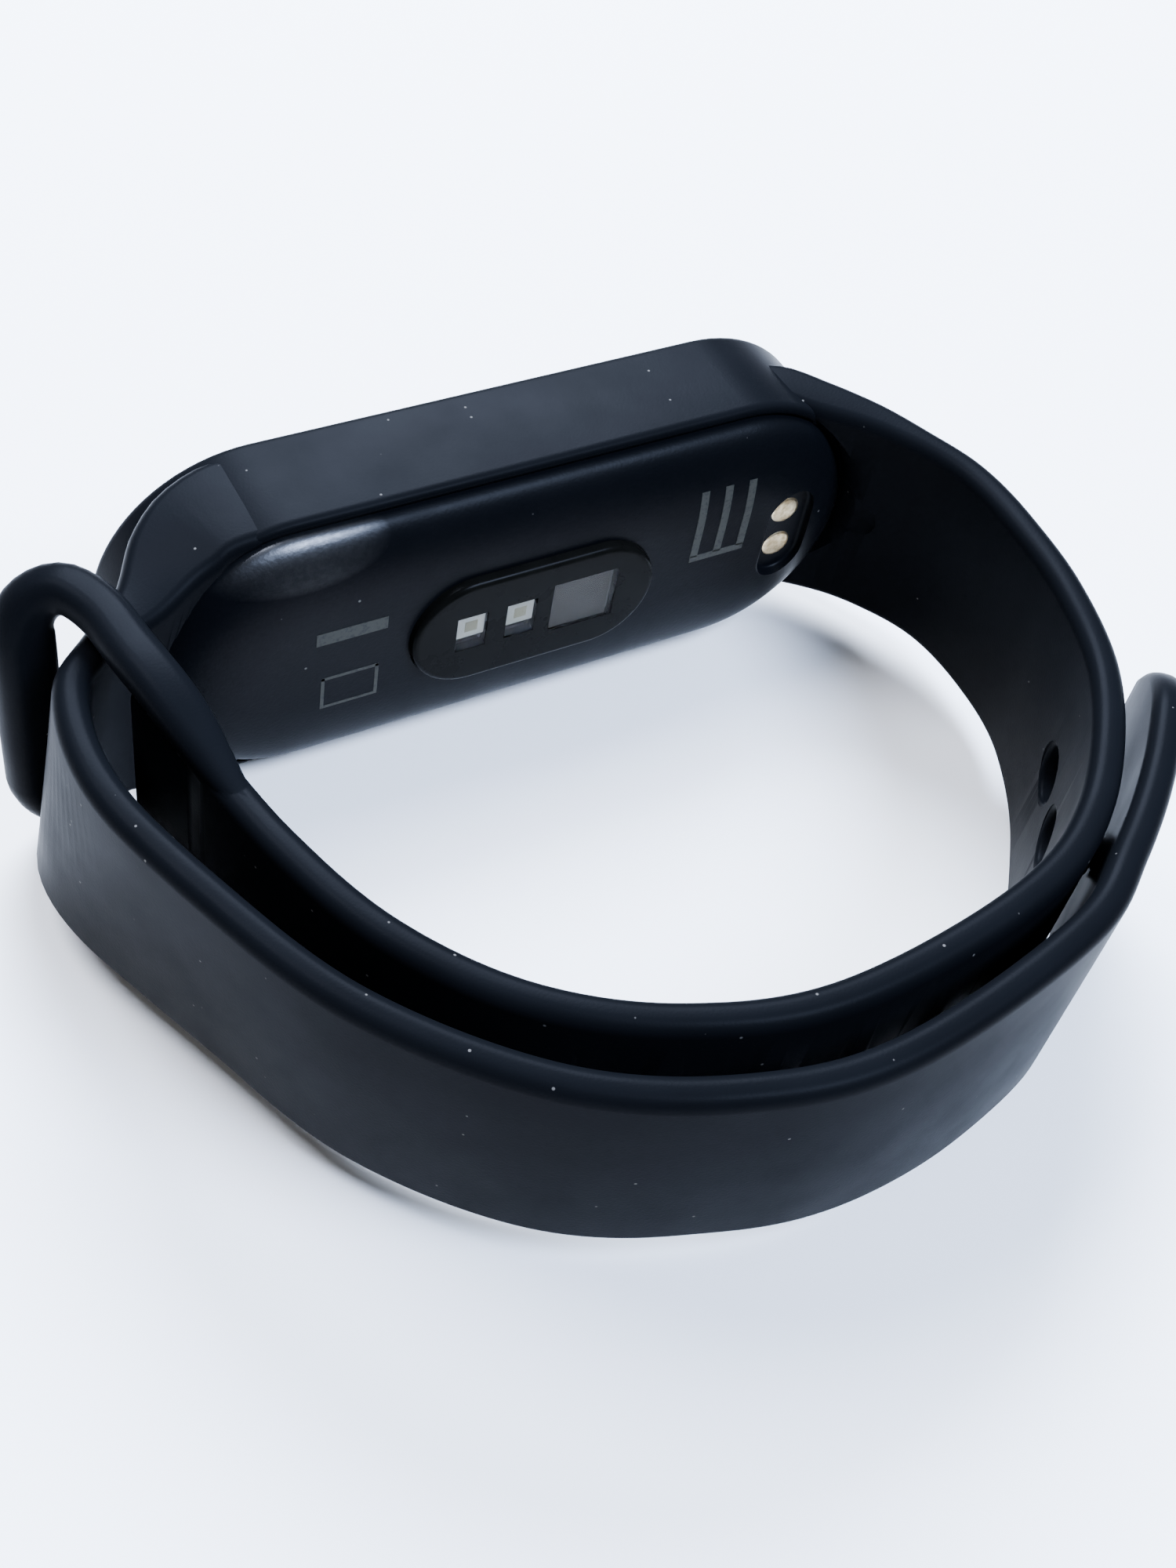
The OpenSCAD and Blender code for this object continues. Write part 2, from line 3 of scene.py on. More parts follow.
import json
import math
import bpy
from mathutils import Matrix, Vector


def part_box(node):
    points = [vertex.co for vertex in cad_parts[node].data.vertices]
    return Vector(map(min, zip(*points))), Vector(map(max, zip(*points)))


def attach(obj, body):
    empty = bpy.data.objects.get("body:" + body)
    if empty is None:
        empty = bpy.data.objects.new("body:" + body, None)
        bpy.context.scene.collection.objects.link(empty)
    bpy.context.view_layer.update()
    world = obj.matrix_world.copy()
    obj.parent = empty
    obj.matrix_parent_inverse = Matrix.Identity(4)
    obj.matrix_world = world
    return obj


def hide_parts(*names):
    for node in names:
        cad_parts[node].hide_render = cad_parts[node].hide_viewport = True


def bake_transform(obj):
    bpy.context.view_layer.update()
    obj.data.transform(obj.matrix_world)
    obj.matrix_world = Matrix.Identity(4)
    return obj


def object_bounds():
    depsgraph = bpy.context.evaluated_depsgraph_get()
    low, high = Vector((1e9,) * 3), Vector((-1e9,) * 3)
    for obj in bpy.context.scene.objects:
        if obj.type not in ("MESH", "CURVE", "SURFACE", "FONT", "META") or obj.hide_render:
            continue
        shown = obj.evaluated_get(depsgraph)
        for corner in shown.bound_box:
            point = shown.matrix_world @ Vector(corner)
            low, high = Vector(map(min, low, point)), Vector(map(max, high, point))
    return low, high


bl_info = {
    "name": "Tracker Band",
    "version": (1, 0, 0),
    "blender": (4, 5, 0),
    "location": "View3D > Sidebar > Band",
    "description": "Builds a soft wrist strap with its tracker capsule round a packed CAD frame",
    "category": "Add Mesh",
}

import bmesh
import bpy
from bpy.props import FloatProperty, FloatVectorProperty, PointerProperty, StringProperty
from mathutils import Matrix, Vector

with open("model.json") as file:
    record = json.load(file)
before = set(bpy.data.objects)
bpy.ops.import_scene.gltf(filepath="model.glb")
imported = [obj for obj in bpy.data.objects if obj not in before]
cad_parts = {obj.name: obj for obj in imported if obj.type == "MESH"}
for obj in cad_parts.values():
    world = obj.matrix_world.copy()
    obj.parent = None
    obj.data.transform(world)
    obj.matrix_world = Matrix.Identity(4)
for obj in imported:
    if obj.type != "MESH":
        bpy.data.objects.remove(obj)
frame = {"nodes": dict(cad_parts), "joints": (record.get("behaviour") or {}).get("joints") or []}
CAD_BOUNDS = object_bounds()
NODES = frame["nodes"]

MM = 0.001
WELD = 2e-6  # vertices closer than this, in metres, become one
STATION_STEP = 0.7 * MM  # distance between the sections along a strap
EDGE_R = 0.8 * MM  # radius of a strap's edges, and of its rounded free ends
HOLES = 9

# ---------------------------------------------------------------- places, from the frame
# Distances along Y are measured from the capsule's skin side, at SKIN_Y in the frame
RING_LOW, RING_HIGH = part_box("strap_frame")
CAP_LOW, CAP_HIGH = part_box("capsule_housing")
LENS_LOW, LENS_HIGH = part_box("sensor_lens")
PAD_LOW, PAD_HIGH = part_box("charge_contacts")
GLASS_LOW, GLASS_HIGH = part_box("cover_glass")
SKIN_Y = CAP_LOW[1]
MID_Z = (RING_LOW[2] + RING_HIGH[2]) / 2
FRAME_R = (RING_HIGH[2] - RING_LOW[2]) / 2
FRAME_X = RING_HIGH[0]
RUN = FRAME_X - FRAME_R  # half the straight part of every pill-shaped outline
REAR_Y, FRONT_Y = RING_LOW[1] - SKIN_Y, RING_HIGH[1] - SKIN_Y
CAP_R = (CAP_HIGH[2] - CAP_LOW[2]) / 2
CAP_TOP = CAP_HIGH[1] - SKIN_Y
REAR_R = CAP_R - 0.2 * MM  # behind the collar that seats the capsule in its frame
LENS_Y = LENS_LOW[1] - SKIN_Y
LENS_R = (LENS_HIGH[2] - LENS_LOW[2]) / 2
LENS_RUN = (LENS_HIGH[0] - LENS_LOW[0]) / 2 - LENS_R
PAD_X = (PAD_LOW[0] + PAD_HIGH[0]) / 2
PAD_R = (PAD_HIGH[0] - PAD_LOW[0]) / 2
PAD_Z = (PAD_HIGH[2] - PAD_LOW[2]) / 2 - PAD_R
RECESS_Y, PAD_DEEP = PAD_LOW[1] - SKIN_Y, PAD_HIGH[1] - SKIN_Y
BOARD_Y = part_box("sensor_board")[0][1] - SKIN_Y
TAIL_BEND = Vector(next(j for j in frame["joints"] if j["name"] == "tail_peel")["pos_m"])


class BandSizes(bpy.types.PropertyGroup):
    """Sizes of the strap and the capsule that the frame's boxes don't give"""

    ring_depth: FloatProperty(
        name="Ring depth",
        description="From the capsule's skin side to the middle of the lowest strap",
        default=34.4 * MM, unit="LENGTH")
    thickness: FloatProperty(
        name="Strap thickness", description="Thickness of both straps", default=1.9 * MM, unit="LENGTH")
    width: FloatProperty(
        name="Strap width", description="Width of both straps", default=16.3 * MM, unit="LENGTH")
    hole_root: FloatProperty(
        name="Hole strap root", description="Thickness of the strap with holes where it leaves the frame",
        default=3.6 * MM, unit="LENGTH")
    clasp_root: FloatProperty(
        name="Clasp strap root", description="Thickness of the clasp's strap where it leaves the frame",
        default=7.0 * MM, unit="LENGTH")
    hole_root_width: FloatProperty(
        name="Hole strap root width", description="Width of the strap with holes where it leaves the frame",
        default=17.2 * MM, unit="LENGTH")
    clasp_root_width: FloatProperty(
        name="Clasp strap root width", description="Width of the clasp's strap where it leaves the frame",
        default=18.8 * MM, unit="LENGTH")
    tip_radius: FloatProperty(
        name="Tip radius", description="Radius of the corners at the clasp strap's tip",
        default=6 * MM, unit="LENGTH")
    hole_radius: FloatProperty(
        name="Hole radius", description="Radius of the holes for the clasp", default=1.7 * MM, unit="LENGTH")
    hole_first: FloatProperty(
        name="First hole", description="Distance of the first hole along the strap",
        default=35.5 * MM, unit="LENGTH")
    hole_pitch: FloatProperty(
        name="Hole pitch", description="Distance between the holes", default=5 * MM, unit="LENGTH")
    lean: FloatProperty(
        name="Lean", description="Slope in degrees of the strap's lower edge outwards, beside the frame",
        default=7.0)
    clasp_lean: FloatProperty(
        name="Clasp strap lean", description="The same slope of the clasp's strap past the loop", default=9.0)
    low_lean: FloatProperty(
        name="Clasp strap low lean",
        description="Slope in degrees of the clasp strap's lower edge inwards, along the bottom", default=5.0)
    bar: FloatProperty(
        name="Loop bar", description="Thickness of the end loop's bars", default=2.7 * MM, unit="LENGTH")
    side_bar: FloatProperty(
        name="Side bar", description="Height of the end loop's side bars", default=2.2 * MM, unit="LENGTH")
    back_round_w: FloatProperty(
        name="Back rounding width", description="Width of the rounding round the skin side",
        default=6.2 * MM, unit="LENGTH")


class BandColours(bpy.types.PropertyGroup):
    """Colours of the outer finishes, as sRGB hex"""

    strap: StringProperty(name="Strap", description="Soft black strap elastomer", default="08090b")
    housing: StringProperty(name="Housing", description="Black housing plastic", default="050608")
    lens: StringProperty(name="Lens", description="Dark sensor lens", default="060605")
    ink: StringProperty(name="Ink", description="Grey printed marks", default="34342f")
    floor: StringProperty(name="Floor", description="Pale plain floor", default="fbf8f3")


# ---------------------------------------------------------------- strap routes
# Shape points: X as an offset in mm outwards from the frame's end, Y as a share of the ring's depth
HOLE_SIDE = [(-7.6, 0.165), (-4.2, 0.15), (-0.6, 0.055), (1.6, -0.04), (3.3, -0.155), (3.6, -0.3),
             (2.7, -0.465), (-0.4, -0.66), (-6.6, -0.86), (-13.8, -0.96)]
HOLE_LOW = [(-1.5, -1.0)]
HOLE_FAR = [(-14.5, -0.945), (-8.2, -0.83), (-3.7, -0.66), (-1.1, -0.46), (0.4, -0.25), (1.5, -0.11)]
LOOP_TIP = [(2.1, -0.005), (3.3, 0.06), (5.2, 0.078), (7.1, 0.05)]
STUD_SIDE = [(-7.6, 0.15), (-4.2, 0.145), (-0.7, 0.087), (3.4, 0.005), (5.7, -0.085), (5.7, -0.26),
             (3.2, -0.5), (-0.8, -0.75), (-7.6, -0.965), (-15.4, -1.078)]
STUD_LOW = [(-0.5, -1.11)]
STUD_TAIL = [(-12.4, -1.043), (-6.6, -0.95), (-0.7, -0.815), (5.6, -0.622)]


class Route:
    """A smooth level curve through shape points, measured along its length"""

    def __init__(self, points, outward, spans=16):
        self.outward = outward  # 1 where the ring's outside lies left of the way along the curve
        self.points = []
        last = len(points) - 1
        for i in range(last):
            a, b, c, d = points[max(i - 1, 0)], points[i], points[i + 1], points[min(i + 2, last)]
            for k in range(spans):
                t = k / spans
                self.points.append(0.5 * (2 * b + (c - a) * t + (2 * a - 5 * b + 4 * c - d) * t * t
                                          + (3 * b - 3 * c + d - a) * t ** 3))
        self.points.append(points[last])
        self.runs = [0.0]
        for p, q in zip(self.points, self.points[1:]):
            self.runs.append(self.runs[-1] + (q - p).length)
        self.length = self.runs[-1]

    def at(self, s):
        """Point at a distance s along the curve"""
        s = min(max(s, 0.0), self.length)
        i = 0
        while i < len(self.runs) - 2 and self.runs[i + 1] < s:
            i += 1
        share = (s - self.runs[i]) / (self.runs[i + 1] - self.runs[i])
        return self.points[i].lerp(self.points[i + 1], share)

    def tangent(self, s, reach=0.8 * MM):
        low, high = max(s - reach, 0.0), min(s + reach, self.length)
        return (self.at(high) - self.at(low)).normalized()

    def placing(self, s, lean=0.0):
        """Matrix with X outwards from the ring, Y along the wrist axis and Z along the curve. A lean,
        in degrees, turns it about the curve so that the lower edge stands further out."""
        t = self.tangent(s)
        out = Vector((-t.y, t.x, 0)) * self.outward
        turn = Matrix.Rotation(math.radians(lean) * (1 if t.cross(out).z > 0 else -1), 3, t)
        out = turn @ out
        m = Matrix((out, t.cross(out), t)).transposed().to_4x4()
        m.translation = self.at(s)
        return m


def on_side(points, depth, side):
    """Route points beside the frame's right (side 1) or left (side -1) end"""
    return [Vector((side * (FRAME_X + x * MM), SKIN_Y + y * depth, MID_Z)) for x, y in points]


def low_points(points, depth):
    return [Vector((x * MM, SKIN_Y + y * depth, MID_Z)) for x, y in points]


def hole_route(depth):
    return Route(on_side(HOLE_SIDE, depth, 1) + low_points(HOLE_LOW, depth) + on_side(HOLE_FAR, depth, -1)
                 + on_side(LOOP_TIP, depth, -1), 1)


def stud_route(depth):
    return Route(on_side(STUD_SIDE, depth, -1) + low_points(STUD_LOW, depth)
                 + on_side(STUD_TAIL, depth, 1), -1)


def fade(s, length):
    """Falls smoothly from 1 at 0 to 0 at length"""
    return 0.0 if s >= length else (1 + math.cos(math.pi * max(s, 0.0) / length)) / 2


# ---------------------------------------------------------------- mesh helpers
def finish_piece(bm, name, body, material, sharp=40.0):
    """Turns a bmesh into a shaded piece that rides on a body"""
    bmesh.ops.remove_doubles(bm, verts=bm.verts, dist=WELD)
    bmesh.ops.recalc_face_normals(bm, faces=bm.faces)
    for face in bm.faces:
        face.smooth = True
    for edge in bm.edges:
        edge.smooth = len(edge.link_faces) != 2 or edge.calc_face_angle(0) < math.radians(sharp)
    mesh = bpy.data.meshes.new(name)
    bm.to_mesh(mesh)
    bm.free()
    piece = bpy.data.objects.new(name, mesh)
    bpy.context.scene.collection.objects.link(piece)
    mesh.materials.append(material)
    if body:
        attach(piece, body)
    return piece


SECTION_STEPS = 7  # points round each corner of a strap's section


def section_point(k, half_t, half_w, r):
    """Corner point k of an oblong section, half_t by half_w, whose corners have the radius r"""
    corner, step = divmod(k, SECTION_STEPS)
    a = math.pi / 2 * (corner + step / (SECTION_STEPS - 1))
    sx, sy = ((1, 1), (-1, 1), (-1, -1), (1, -1))[corner]
    return Vector((sx * (half_t - r) + r * math.cos(a), sy * (half_w - r) + r * math.sin(a), 0))


def sweep(bm, stations):
    """Extrudes an oblong section through stations of (matrix, half thickness, half width, corner radius)
    and closes both ends"""
    place = bm.verts.layers.int.new("corner_point")
    verts = bmesh.ops.create_circle(bm, cap_ends=False, segments=4 * SECTION_STEPS, radius=1.0)["verts"]
    for k, v in enumerate(verts):
        v[place] = k
    edges = list({e for v in verts for e in v.link_edges})
    first = edges
    for number, (matrix, half_t, half_w, r) in enumerate(stations):
        if number:
            made = bmesh.ops.extrude_edge_only(bm, edges=edges)["geom"]
            verts = [g for g in made if isinstance(g, bmesh.types.BMVert)]
            edges = [g for g in made if isinstance(g, bmesh.types.BMEdge)]
        for v in verts:
            v.co = matrix @ section_point(v[place], half_t, half_w, r)
    bmesh.ops.edgeloop_fill(bm, edges=first)
    bmesh.ops.edgeloop_fill(bm, edges=edges)


def pill(bm, profile, run, closed=False, steps=28, centre=(0.0, 0.0), upright=False):
    """Carries a profile of (distance from the long axis, y) points round a pill-shaped outline.
    upright turns the long axis to the wrist axis."""
    verts = [bm.verts.new((run, y, r)) for r, y in profile]
    edges = [bm.edges.new(pair) for pair in zip(verts, verts[1:])]
    if closed:
        edges.append(bm.edges.new((verts[-1], verts[0])))
    start = set(bm.verts) - set(verts)
    geom = verts + edges
    for side in (1, -1):
        turned = bmesh.ops.spin(bm, geom=geom, cent=(side * run, 0, 0), axis=(0, 1, 0), dvec=(0, 0, 0),
                                angle=math.pi, steps=steps, use_duplicate=False)["geom_last"]
        ends = [g for g in turned if isinstance(g, bmesh.types.BMEdge)]
        made = bmesh.ops.extrude_edge_only(bm, edges=ends)["geom"]
        moved = [g for g in made if isinstance(g, bmesh.types.BMVert)]
        bmesh.ops.translate(bm, vec=(-2 * side * run, 0, 0), verts=moved)
        geom = moved + [g for g in made if isinstance(g, bmesh.types.BMEdge)]
    fresh = [v for v in bm.verts if v not in start]
    bmesh.ops.remove_doubles(bm, verts=fresh, dist=WELD)
    fresh = [v for v in bm.verts if v not in start]
    if upright:
        bmesh.ops.rotate(bm, cent=(0, 0, 0), matrix=Matrix.Rotation(math.pi / 2, 3, "Y"), verts=fresh)
    bmesh.ops.translate(bm, vec=(centre[0], SKIN_Y, MID_Z + centre[1]), verts=fresh)


def block(bm, low, high, bevel=0.0, segments=3):
    """A box between two corners, its edges rounded; Y is measured from the skin side"""
    size = [h - l for l, h in zip(low, high)]
    middle = Vector([(h + l) / 2 for l, h in zip(low, high)]) + Vector((0, SKIN_Y, 0))
    verts = bmesh.ops.create_cube(bm, size=1.0, matrix=Matrix.LocRotScale(middle, None, size))["verts"]
    if bevel:
        edges = list({e for v in verts for e in v.link_edges})
        bmesh.ops.bevel(bm, geom=verts + edges, offset=bevel, segments=segments, profile=0.5,
                        affect="EDGES", material=-1, clamp_overlap=True)


def lathe(bm, profile, steps=40):
    """Turns (radius, height) points about Z and returns the new vertices"""
    old = set(bm.verts)
    verts = [bm.verts.new((r, 0, h)) for r, h in profile]
    edges = [bm.edges.new(pair) for pair in zip(verts, verts[1:])]
    bmesh.ops.spin(bm, geom=verts + edges, cent=(0, 0, 0), axis=(0, 0, 1), dvec=(0, 0, 0),
                   angle=2 * math.pi, steps=steps, use_merge=True, use_duplicate=False)
    fresh = [v for v in bm.verts if v not in old]
    bmesh.ops.remove_doubles(bm, verts=fresh, dist=WELD)
    return [v for v in bm.verts if v not in old]


def arc(cx, cy, rx, ry, start, end, steps):
    """Points of an elliptical arc between two angles in degrees"""
    angles = [math.radians(start + (end - start) * k / steps) for k in range(steps + 1)]
    return [(cx + rx * math.cos(a), cy + ry * math.sin(a)) for a in angles]


def combine(target, tool_bm, operation):
    """Cuts a tool out of a bmesh, or joins it on, and returns the result"""
    objects = []
    for bm in (target, tool_bm):
        bmesh.ops.remove_doubles(bm, verts=bm.verts, dist=WELD)
        bmesh.ops.recalc_face_normals(bm, faces=bm.faces)
        mesh = bpy.data.meshes.new("work")
        bm.to_mesh(mesh)
        bm.free()
        objects.append(bpy.data.objects.new("work", mesh))
        bpy.context.scene.collection.objects.link(objects[-1])
    modifier = objects[0].modifiers.new("join", "BOOLEAN")
    modifier.operation = operation
    modifier.solver = "EXACT"
    modifier.object = objects[1]
    depsgraph = bpy.context.evaluated_depsgraph_get()
    result = bmesh.new()
    result.from_mesh(objects[0].evaluated_get(depsgraph).data)
    for o in objects:
        mesh = o.data
        bpy.data.objects.remove(o)
        bpy.data.meshes.remove(mesh)
    return result


def clear_capsule(bm):
    """Cuts away what would stand in the capsule's place in its frame"""
    cutter = bmesh.new()
    near, past = REAR_R + 0.06 * MM, REAR_R + 0.35 * MM
    low, high = -3 * MM, CAP_TOP + 4 * MM
    pill(cutter, [(0, low), (past, low), (past, REAR_Y), (near, REAR_Y), (near, high), (0, high)], RUN)
    return combine(bm, cutter, "DIFFERENCE")


# ---------------------------------------------------------------- materials
def linear(code):
    """sRGB hex to linear RGBA"""
    parts = [int(code[i:i + 2], 16) / 255 for i in (0, 2, 4)]
    return tuple(c / 12.92 if c <= 0.04045 else ((c + 0.055) / 1.055) ** 2.4 for c in parts) + (1.0,)


def add(tree, kind, links=(), **settings):
    """Adds a node, sets its properties and sockets, and links sockets given as (name, output)"""
    n = tree.nodes.new(kind)
    for key, value in settings.items():
        if key in n.inputs:
            n.inputs[key].default_value = value
        else:
            setattr(n, key, value)
    for key, output in links:
        tree.links.new(n.inputs[key], output)
    return n


def new_material(name):
    """An empty node material with its shader, its output and the object's own coordinates in mm"""
    material = bpy.data.materials.new(name)
    material.use_nodes = True
    tree = material.node_tree
    tree.nodes.clear()
    shader = tree.nodes.new("ShaderNodeBsdfPrincipled")
    output = tree.nodes.new("ShaderNodeOutputMaterial")
    tree.links.new(output.inputs["Surface"], shader.outputs["BSDF"])
    place = tree.nodes.new("ShaderNodeTexCoord")
    scaled = add(tree, "ShaderNodeMapping", [("Vector", place.outputs["Object"])], Scale=(1000, 1000, 1000))
    return material, tree, shader, scaled.outputs["Vector"]


def noise(tree, place, size_mm, detail=3.0, roughness=0.5):
    """Noise whose lumps are size_mm across"""
    return add(tree, "ShaderNodeTexNoise", [("Vector", place)], Scale=1 / size_mm, Detail=detail,
               Roughness=roughness).outputs["Fac"]


def ramp(tree, value, low, high, to_low=0.0, to_high=1.0):
    """Maps a value from one range to another, held at its ends"""
    n = add(tree, "ShaderNodeMapRange", [("Value", value)], clamp=True)
    for key, v in (("From Min", low), ("From Max", high), ("To Min", to_low), ("To Max", to_high)):
        n.inputs[key].default_value = v
    return n.outputs["Result"]


def mixed(tree, factor, a, b):
    """Colour between a and b; each is a colour or an output"""
    n = add(tree, "ShaderNodeMix", data_type="RGBA")
    for socket, value in ((n.inputs[0], factor), (n.inputs[6], a), (n.inputs[7], b)):
        if isinstance(value, bpy.types.NodeSocket):
            tree.links.new(socket, value)
        else:
            socket.default_value = value
    return n.outputs[2]


def mixed_value(tree, factor, a, b):
    """Number between a and b; each is a number or an output"""
    n = add(tree, "ShaderNodeMix", data_type="FLOAT")
    for socket, value in ((n.inputs[0], factor), (n.inputs[2], a), (n.inputs[3], b)):
        if isinstance(value, bpy.types.NodeSocket):
            tree.links.new(socket, value)
        else:
            socket.default_value = value
    return n.outputs[0]


def bump(tree, shader, height, distance_mm, strength=1.0):
    n = add(tree, "ShaderNodeBump", [("Height", height)], Strength=strength, Distance=distance_mm * MM)
    tree.links.new(shader.inputs["Normal"], n.outputs["Normal"])


def specks(tree, place, spacing_mm, size_share, chance):
    """1 on small sparse grains, 0 elsewhere"""
    cells = add(tree, "ShaderNodeTexVoronoi", [("Vector", place)], Scale=1 / spacing_mm, Randomness=1.0)
    near = ramp(tree, cells.outputs["Distance"], size_share, size_share * 0.6)
    pick = add(tree, "ShaderNodeSeparateColor", [("Color", cells.outputs["Color"])])
    chosen = ramp(tree, pick.outputs[0], 1 - chance, 1 - chance + 0.01)
    return add(tree, "ShaderNodeMath", operation="MULTIPLY",
               links=[(0, near), (1, chosen)]).outputs[0]


def strap_elastomer(colours):
    """TPU, injection moulded in a blasted mould: a soft black with a fine even grain and a broad sheen.
    Skin oils leave slightly smoother patches, and dust sits on it as pale grains."""
    material, tree, shader, place = new_material("TPU_moulded_black")
    base = linear(colours.strap)
    cloud = noise(tree, place, 9.0)
    dust = specks(tree, place, 1.5, 0.06, 0.5)
    body = mixed(tree, ramp(tree, cloud, 0.35, 0.7), base, tuple(c * 0.8 for c in base[:3]) + (1,))
    tree.links.new(shader.inputs["Base Color"], mixed(tree, dust, body, linear("4c4a46")))
    tree.links.new(shader.inputs["Roughness"], ramp(tree, noise(tree, place, 4.0, 4.0), 0.3, 0.7, 0.33, 0.4))
    shader.inputs["Specular IOR Level"].default_value = 0.007
    # the mould's grit is about 0.05 mm and is drawn at 0.16 mm so that it shows
    bump(tree, shader, noise(tree, place, 0.16, 2.0), 0.012, 0.5)
    return material


def housing_plastic(colours):
    """PC/ABS with a fine spark-eroded grain, rubbed glossier where it rounds over to the wrist."""
    material, tree, shader, place = new_material("PC_ABS_spark_grain")
    base = linear(colours.housing)
    smudge = noise(tree, place, 5.0, 4.0, 0.6)
    dust = specks(tree, place, 1.6, 0.06, 0.4)
    tree.links.new(shader.inputs["Base Color"], mixed(tree, dust, base, linear("4c4a46")))
    # where it is rubbed most: a soft patch at the upper edge near the loop's end, broken into grains
    middle = (-14.6, SKIN_Y / MM + 1.9, MID_Z / MM + 7.8)
    radii = (4.6, 1.9, 1.9)
    spot = add(tree, "ShaderNodeMapping", [("Vector", place)],
               Location=tuple(-m / r for m, r in zip(middle, radii)), Scale=tuple(1 / r for r in radii))
    away = add(tree, "ShaderNodeVectorMath", [("Vector", spot.outputs["Vector"])], operation="LENGTH")
    rubbed = ramp(tree, away.outputs["Value"], 1.25, 0.0)
    grains = ramp(tree, noise(tree, place, 0.45, 4.0, 0.7), 0.42, 0.58, 0.75, 1.0)
    rubbed = add(tree, "ShaderNodeMath", operation="MULTIPLY", links=[(0, rubbed), (1, grains)]).outputs[0]
    rough = ramp(tree, smudge, 0.3, 0.7, 0.34, 0.44)
    tree.links.new(shader.inputs["Roughness"], mixed_value(tree, rubbed, rough, 0.33))
    tree.links.new(shader.inputs["Specular IOR Level"], mixed_value(tree, rubbed, 0.035, 1.1))
    # spark grain of about 0.1 mm, drawn at 0.22 mm
    bump(tree, shader, noise(tree, place, 0.22, 2.0, 0.6), 0.02, 0.5)
    return material


def lens_plastic(colours):
    """Polycarbonate lens over black ink: dark and smooth, with hair scratches and skin film."""
    material, tree, shader, place = new_material("PC_lens_over_ink")
    film = noise(tree, place, 3.0, 5.0, 0.6)
    tree.links.new(shader.inputs["Base Color"],
                   mixed(tree, ramp(tree, film, 0.3, 0.75), linear(colours.lens), linear("0c0c0a")))
    tree.links.new(shader.inputs["Roughness"], ramp(tree, film, 0.3, 0.7, 0.22, 0.36))
    shader.inputs["Specular IOR Level"].default_value = 0.02
    bump(tree, shader, noise(tree, place, 0.5, 3.0), 0.004, 0.4)
    return material


def clear_pane():
    """Clear polycarbonate window: thin, slightly hazed by fine scratches."""
    material, tree, shader, place = new_material("PC_clear_window")
    shader.inputs["Base Color"].default_value = (0.9, 0.9, 0.88, 1)
    shader.inputs["Transmission Weight"].default_value = 1.0
    shader.inputs["IOR"].default_value = 1.12
    scratches = noise(tree, place, 0.6, 4.0)
    tree.links.new(shader.inputs["Roughness"], ramp(tree, scratches, 0.35, 0.7, 0.04, 0.14))
    return material


def dark_glass():
    """Tempered glass, black-printed behind: near-mirror gloss with scuffs at its edge."""
    material, tree, shader, place = new_material("glass_black_backed")
    marks = noise(tree, place, 0.7, 6.0, 0.75)
    scuff = ramp(tree, marks, 0.66, 0.72)
    tree.links.new(shader.inputs["Base Color"], mixed(tree, scuff, linear("08090b"), linear("3a3a3c")))
    tree.links.new(shader.inputs["Roughness"], ramp(tree, marks, 0.4, 0.72, 0.06, 0.3))
    shader.inputs["IOR"].default_value = 1.52
    shader.inputs["Specular IOR Level"].default_value = 0.15
    return material


def print_ink(colours):
    """Pad-printed grey ink: flat, thin and worn through in grains."""
    material, tree, shader, place = new_material("pad_print_grey")
    worn = ramp(tree, noise(tree, place, 0.25, 4.0, 0.7), 0.36, 0.5)
    tree.links.new(shader.inputs["Base Color"], mixed(tree, worn, linear("262624"), linear(colours.ink)))
    tree.links.new(shader.inputs["Roughness"], ramp(tree, worn, 0, 1, 0.4, 0.55))
    shader.inputs["Specular IOR Level"].default_value = 0.05
    return material


def plated_gold():
    """Gold flash over nickel on turned brass: pale, with fine turning rings and touch marks."""
    material, tree, shader, place = new_material("gold_flash_contact")
    spots = noise(tree, place, 0.5, 4.0, 0.6)
    tree.links.new(shader.inputs["Base Color"],
                   mixed(tree, ramp(tree, spots, 0.4, 0.65), linear("e2cfa8"), linear("b39a70")))
    tree.links.new(shader.inputs["Roughness"], ramp(tree, spots, 0.3, 0.7, 0.28, 0.45))
    shader.inputs["Metallic"].default_value = 1.0
    bump(tree, shader, noise(tree, place, 0.12, 2.0), 0.004, 0.4)
    return material


def finish(name, light, dark, roughness, grain_mm, metallic=0.0, transmission=0.0, specular=0.5):
    """A plain finish: two tones in a slow cloud, a roughness range and a grain of a real size"""
    material, tree, shader, place = new_material(name)
    cloud = noise(tree, place, grain_mm * 12, 3.0)
    tree.links.new(shader.inputs["Base Color"],
                   mixed(tree, ramp(tree, cloud, 0.35, 0.65), linear(light), linear(dark)))
    tree.links.new(shader.inputs["Roughness"],
                   ramp(tree, cloud, 0.3, 0.7, roughness - 0.05, roughness + 0.07))
    shader.inputs["Metallic"].default_value = metallic
    shader.inputs["Transmission Weight"].default_value = transmission
    shader.inputs["Specular IOR Level"].default_value = specular
    bump(tree, shader, noise(tree, place, grain_mm, 2.0), 0.004, 0.5)
    return material


